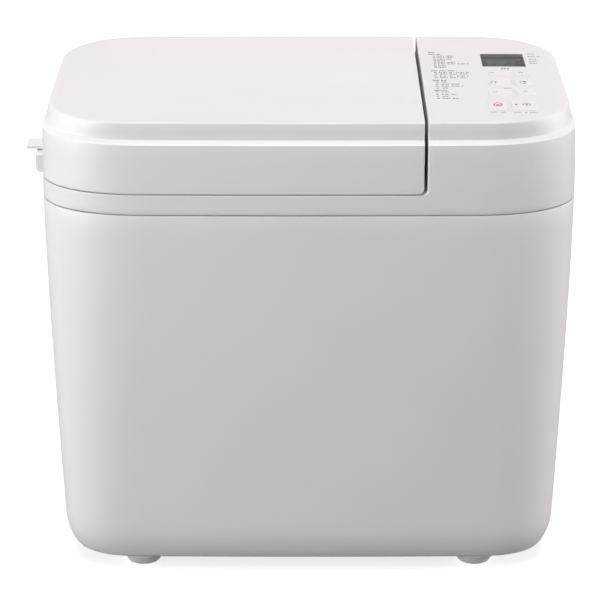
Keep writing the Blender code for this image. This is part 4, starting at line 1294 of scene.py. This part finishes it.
# %% [markdown]
# ## Chamber, pan and lid liner
#
# These show when the lid is open. Each is an open-topped pressed or drawn tub: the surface goes
# up the outside, over a flange, down the inside, and across the floor, with soft radii where
# the sheet was drawn over a punch.

# %% Tubs
BEAD_REACH = 2.5


def tub(name, half, bottom, top, radius, sheet, roll, taper, flange, beads=()):
    hx, hy = half
    turn = [math.radians(a) for a in (90, 70, 50, 30, 10, 0)]
    rings = []
    for a in turn:
        drop, rise = roll * (1 - math.cos(a)), roll * (1 - math.sin(a))
        size = (hx + sheet - drop - taper, hy + sheet - drop - taper)
        rings.append(tub_ring(bottom - sheet + rise, size, radius + sheet - drop * 0.5))
    edge = (hx + sheet, hy + sheet)
    wide = (edge[0] + flange, edge[1] + flange)
    rings += [tub_ring(top - sheet * 1.4, edge, radius + sheet),
              tub_ring(top - sheet * 1.4, wide, radius + sheet + flange),
              tub_ring(top - sheet * 0.7, (wide[0] + 0.3, wide[1] + 0.3), radius + sheet + flange),
              tub_ring(top, wide, radius + sheet + flange)]
    rings += [tub_ring(top, (hx + 0.8, hy + 0.8), radius + 0.8), tub_ring(top - 0.8, half, radius)]
    for z, push in beads:
        t = (top - z) / (top - bottom) * taper
        wall, bead = (hx - t, hy - t), (hx - t - push, hy - t - push)
        rings += [tub_ring(z + BEAD_REACH, wall, radius), tub_ring(z, bead, radius),
                  tub_ring(z - BEAD_REACH, wall, radius)]
    for a in turn[::-1]:
        drop, rise = roll * (1 - math.cos(a)), roll * (1 - math.sin(a))
        rings.append(tub_ring(bottom + rise, (hx - drop - taper, hy - drop - taper), radius - drop * 0.5))
    return loft(name, rings)


chamber_floor = chamber_low.z + 1.0
CHAMBER_HALF, CHAMBER_CORNER = (115, 90), 25
PAN_HALF, PAN_CORNER = (95, 70), 20
BEADS = ((285, 0.8), (150, 0.8))
chamber = tub("chamber_tub", CHAMBER_HALF, chamber_floor, chamber_high.z, CHAMBER_CORNER,
              1.0, 5.0, 0.0, 6.0, BEADS)
HEATER_Z = sum(p.z for p in span("heater_element")) / 2
SENSOR_Z = sum(p.z for p in span("temperature_sensor")) / 2
LEG_Y, LEG_HOLE_R, SENSOR_HOLE_R, SHAFT_HOLE_R, WALL_CUT = 11, 4.05, 4.4, 8, 16
right_wall = DRIVE_X + CHAMBER_HALF[0]
carve(chamber, rod_tool("shaft_hole", (DRIVE_X, 0, chamber_floor), SHAFT_HOLE_R, 20, "Z"),
      rod_tool("leg_hole_a", (right_wall, -LEG_Y, HEATER_Z), LEG_HOLE_R, WALL_CUT, "X"),
      rod_tool("leg_hole_b", (right_wall, LEG_Y, HEATER_Z), LEG_HOLE_R, WALL_CUT, "X"),
      rod_tool("sensor_hole", (right_wall, 0, SENSOR_Z), SENSOR_HOLE_R, WALL_CUT, "X"))
install(chamber, "housing", chamber_finish, "chamber_metal", "baking_chamber")
pan_low = span("bread_pan")[0]
BAIL_OVER_RIM, PAN_SHEET, SEAL_HOLE_R = 4.25, 1.5, 8.4
pan_rim = span("pan_bail")[0].z - BAIL_OVER_RIM
pan = tub("pan_tub", PAN_HALF, pan_low.z + PAN_SHEET, pan_rim, PAN_CORNER, PAN_SHEET, 6.0, 3.0, 3.0)
carve(pan, rod_tool("seal_hole", (DRIVE_X, 0, pan_low.z), SEAL_HOLE_R, 20, "Z"))
install(pan, "pan", pan_finish, "pan_coating", "bread_pan")
print("chamber and pan made")

# %% [markdown]
# ## Ears, handle and heater
#
# The pan hangs from a bent steel wire that turns in two pierced ears. The heater is a thicker
# tube round the chamber. Both are paths given a round section, which is also how they are made:
# by bending straight stock.

# %% Pan ears and bail
BAIL_Z = sum(p.z for p in span("pan_bail")) / 2
bail_low, bail_high = span("pan_bail")
BAIL_R = (bail_high.z - bail_low.z) / 2
BAIL_X = bail_high.x - DRIVE_X - BAIL_R
BAIL_ARM = bail_high.y - BAIL_R


EAR_R, EAR_FOOT, EAR_DROP = 5, 7, 13
EAR_X, EAR_SHEET, EAR_HOLE_ROOM = 94.8, 2.2, 0.35


def ear_outline():
    arc = [(EAR_R * math.cos(a), BAIL_Z + EAR_R * math.sin(a))
           for a in [math.radians(15 * i) for i in range(13)]]
    return arc + [(-EAR_FOOT, BAIL_Z - EAR_DROP), (EAR_FOOT, BAIL_Z - EAR_DROP)]


ear_places = [Matrix.Translation((DRIVE_X + side * EAR_X, 0, 0)) @ SIDEWAYS for side in (-1, 1)]
ears = plate("pan_ears", [ear_outline()] * 2, EAR_SHEET, ear_places, 0.3)
carve(ears, rod_tool("ear_hole", (DRIVE_X, 0, BAIL_Z), BAIL_R + EAR_HOLE_ROOM, 260, "X"))
install(ears, "pan", pan_finish, "pan_coating")


WIRE_RESOLUTION = 6


def wire(name, points, radius):
    """A round wire along points, as one closed mesh."""
    curve = bpy.data.curves.new(name, "CURVE")
    curve.dimensions = "3D"
    curve.bevel_depth = radius
    curve.bevel_resolution = WIRE_RESOLUTION
    curve.use_fill_caps = True
    spline = curve.splines.new("POLY")
    spline.points.add(len(points) - 1)
    for point, place in zip(spline.points, points):
        point.co = (*place, 1)
    holder = bpy.data.objects.new(name + "_line", curve)
    COLLECTION.objects.link(holder)
    mesh = bpy.data.meshes.new_from_object(holder.evaluated_get(bpy.context.evaluated_depsgraph_get()))
    bpy.data.objects.remove(holder, do_unlink=True)
    form = bmesh.new()
    form.from_mesh(mesh)
    bmesh.ops.remove_doubles(form, verts=form.verts, dist=0.001)
    return mesh_object(name, form, 50)


BAIL_END, BAIL_BEND, BAIL_ELBOW = 91.5, 6.0, 1.2


def bail_path():
    turn = [(BAIL_X - BAIL_BEND * (1 - math.sin(a)), BAIL_ARM - BAIL_BEND * (1 - math.cos(a)))
            for a in [math.radians(degrees) for degrees in range(90, -1, -10)]]
    elbow = [(BAIL_X - BAIL_ELBOW * (1 - math.sin(a)), BAIL_ELBOW * (1 - math.cos(a)))
             for a in [math.radians(degrees) for degrees in range(0, 91, 15)]]
    half = [(BAIL_END, 0)] + elbow + turn
    path = half + [(-x, y) for x, y in half[::-1]]
    return [(DRIVE_X + x, y, BAIL_Z) for x, y in path]


install(wire("bail_wire", bail_path(), BAIL_R), "bail", polished_finish, "polished_steel", "pan_bail")


def heater_path():
    """Out of the right wall, round the chamber and back, with round bends."""
    low, high = span("heater_element")
    tube = (high.z - low.z) / 2
    hy = high.y - tube
    left = low.x + tube
    right = 2 * DRIVE_X - left
    corner_r, bend, leg = 30.0, 8.0, LEG_Y
    path = [(high.x, -leg)]
    runs = ((right + bend, -leg - bend, bend, 90, 180),
            (right - corner_r, -hy + corner_r, corner_r, 0, -90),
            (left + corner_r, -hy + corner_r, corner_r, -90, -180))
    for cx, cy, r, a0, a1 in runs:
        path += [(cx + r * math.cos(a), cy + r * math.sin(a))
                 for a in [math.radians(a0 + (a1 - a0) * i / 12) for i in range(13)]]
    path += [(x, -y) for x, y in path[::-1]]
    return [(x, y, HEATER_Z) for x, y in path], tube


heater_points, heater_radius = heater_path()
install(wire("heater_tube", heater_points, heater_radius), "housing", heater_finish,
        "heater_steel", "heater_element")
print("bail and heater made")

# %% [markdown]
# ## Lid liner
#
# The inner lid is drawn from thin sheet: a flat rim that follows the lid's plan, and a dome that
# follows the chamber's. The two plans differ, so the dome's outlines are resampled to the rim's
# number of points before they are joined.

# %% Lid liner
liner_low, liner_high = span("lid_liner")
RIM_INSET, RIM_RIGHT, RIM_SHEET = WALL + 0.6, 73, 1.6


def liner():
    """A drawn inner lid: a flat rim with a shallow dome over the chamber."""
    rim = []
    for z in (liner_low.z, liner_low.z + RIM_SHEET):
        level = Level(z, RIM_INSET, RIM_INSET, tuple(r - RIM_INSET for r in SEAM_CORNER))
        rim.append(lid_ring(level, RIM_RIGHT))
    count = len(rim[0])

    def bearing(point):
        return math.atan2(point[1], point[0] - DRIVE_X)

    def dome(z, half, radius):
        """A rounded rectangle resampled to the rim's count, starting at its rear right."""
        ring = tub_ring(z, half, radius, steps=40)
        lengths = [0.0]
        for a, b in zip(ring, ring[1:] + ring[:1]):
            lengths.append(lengths[-1] + math.dist(a, b))
        start = bearing(rim[0][0])
        offset = min(range(len(ring)), key=lambda i: abs(bearing(ring[i]) - start))
        out = []
        for i in range(count):
            goal = (lengths[offset] + lengths[-1] * i / count) % lengths[-1]
            j = max(k for k in range(len(ring)) if lengths[k] <= goal)
            share = (goal - lengths[j]) / max(1e-9, lengths[j + 1] - lengths[j])
            a, b = ring[j], ring[(j + 1) % len(ring)]
            out.append(tuple(p + (q - p) * share for p, q in zip(a, b)))
        return out

    low, top = liner_low.z, liner_high.z - 1.5
    inner = [dome(top, (95, 68), 14), dome(top - 0.8, (102, 75), 18),
             dome(top - 4, (106, 79.4), 20), dome(top - 12, (108, 81.4), 21),
             dome(low + 3, (111.4, 85.4), 23.6), dome(low, (113.4, 87.4), 25)]
    outer = [dome(low + RIM_SHEET, (114.4, 88.4), 26), dome(low + 6, (112.8, 86.8), 25),
             dome(top - 3, (108, 81.4), 21), dome(top + 1.4, (102, 75), 18)]
    return loft("liner_sheet_form", inner + rim + outer)


LINER_CUT = (-200, 90, 107.5, 132, 300, 330)
liner_obj = carve(liner(), block_tool("liner_tool", [LINER_CUT]))
install(liner_obj, "lid", liner_finish, "chamber_metal", "lid_liner")
print("liner made")

# %% [markdown]
# ## Kneading blade
#
# The blade is a tapered hub with one flat paddle whose outer edge is rounded. It is non-stick
# coated like the pan.

# %% Blade
hub = turned("blade_hub", [(4.35, 130.2), (9, 130.2), (9, 131), (7.2, 149.8), (6.4, 151.2), (5, 151.9),
                           (1.5, 152), (1.5, 149.1), (4.35, 149.1)], DRIVE_X, 0)
install(hub, "blade", pan_finish, "pan_coating", "kneading_blade")
PADDLE = [(5.5, 131), (36, 131), (40, 133)]
PADDLE += [(34 + 8 * math.cos(a), 140 + 8 * math.sin(a))
           for a in [math.radians(9 * i) for i in range(11)]]
PADDLE += [(20, 148.6), (5.5, 149)]
paddle = plate("blade_paddle", [PADDLE], 3.0, [Matrix.Translation((DRIVE_X, 0, 0)) @ UPRIGHT], 0.8)
install(paddle, "blade", pan_finish, "pan_coating")
print("blade made")

# %% [markdown]
# ## Finishes for what stays
#
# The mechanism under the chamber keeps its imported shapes. Each node takes the finish of what it
# is really made of, so that it also looks right when a cover is taken off.

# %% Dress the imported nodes
STAYS = {
    base_finish: ("base_plate",),
    black_finish: ("cord_gland", "transformer", "capacitor", "wiring_harness"),
    board_finish: ("control_board", "power_board"),
    zinc_finish: ("heater_bracket_front", "heater_bracket_rear", "motor_body", "chassis_plate",
                  "board_bracket", "base_screw_front_left", "base_screw_front_right",
                  "base_screw_rear_left", "base_screw_rear_right"),
    polished_finish: ("temperature_sensor", "pan_shaft", "drive_shaft", "motor_shaft",
                      "hinge_pin_left", "hinge_pin_right"),
    cast_finish: ("pan_lock_ring", "pan_base", "drive_bearing_housing"),
    bronze_finish: ("pan_bearing", "drive_bush_upper", "drive_bush_lower", "motor_pulley"),
    seal_finish: ("pan_seal",),
    belt_finish: ("drive_belt",),
    grey_finish: ("pan_coupling", "drive_coupling", "large_pulley", "motor_fan"),
}
for finish, names in STAYS.items():
    for name in names:
        node = frame["nodes"][name]
        node.data.materials.clear()
        node.data.materials.append(finish)
print(sum(len(names) for names in STAYS.values()), "nodes dressed")
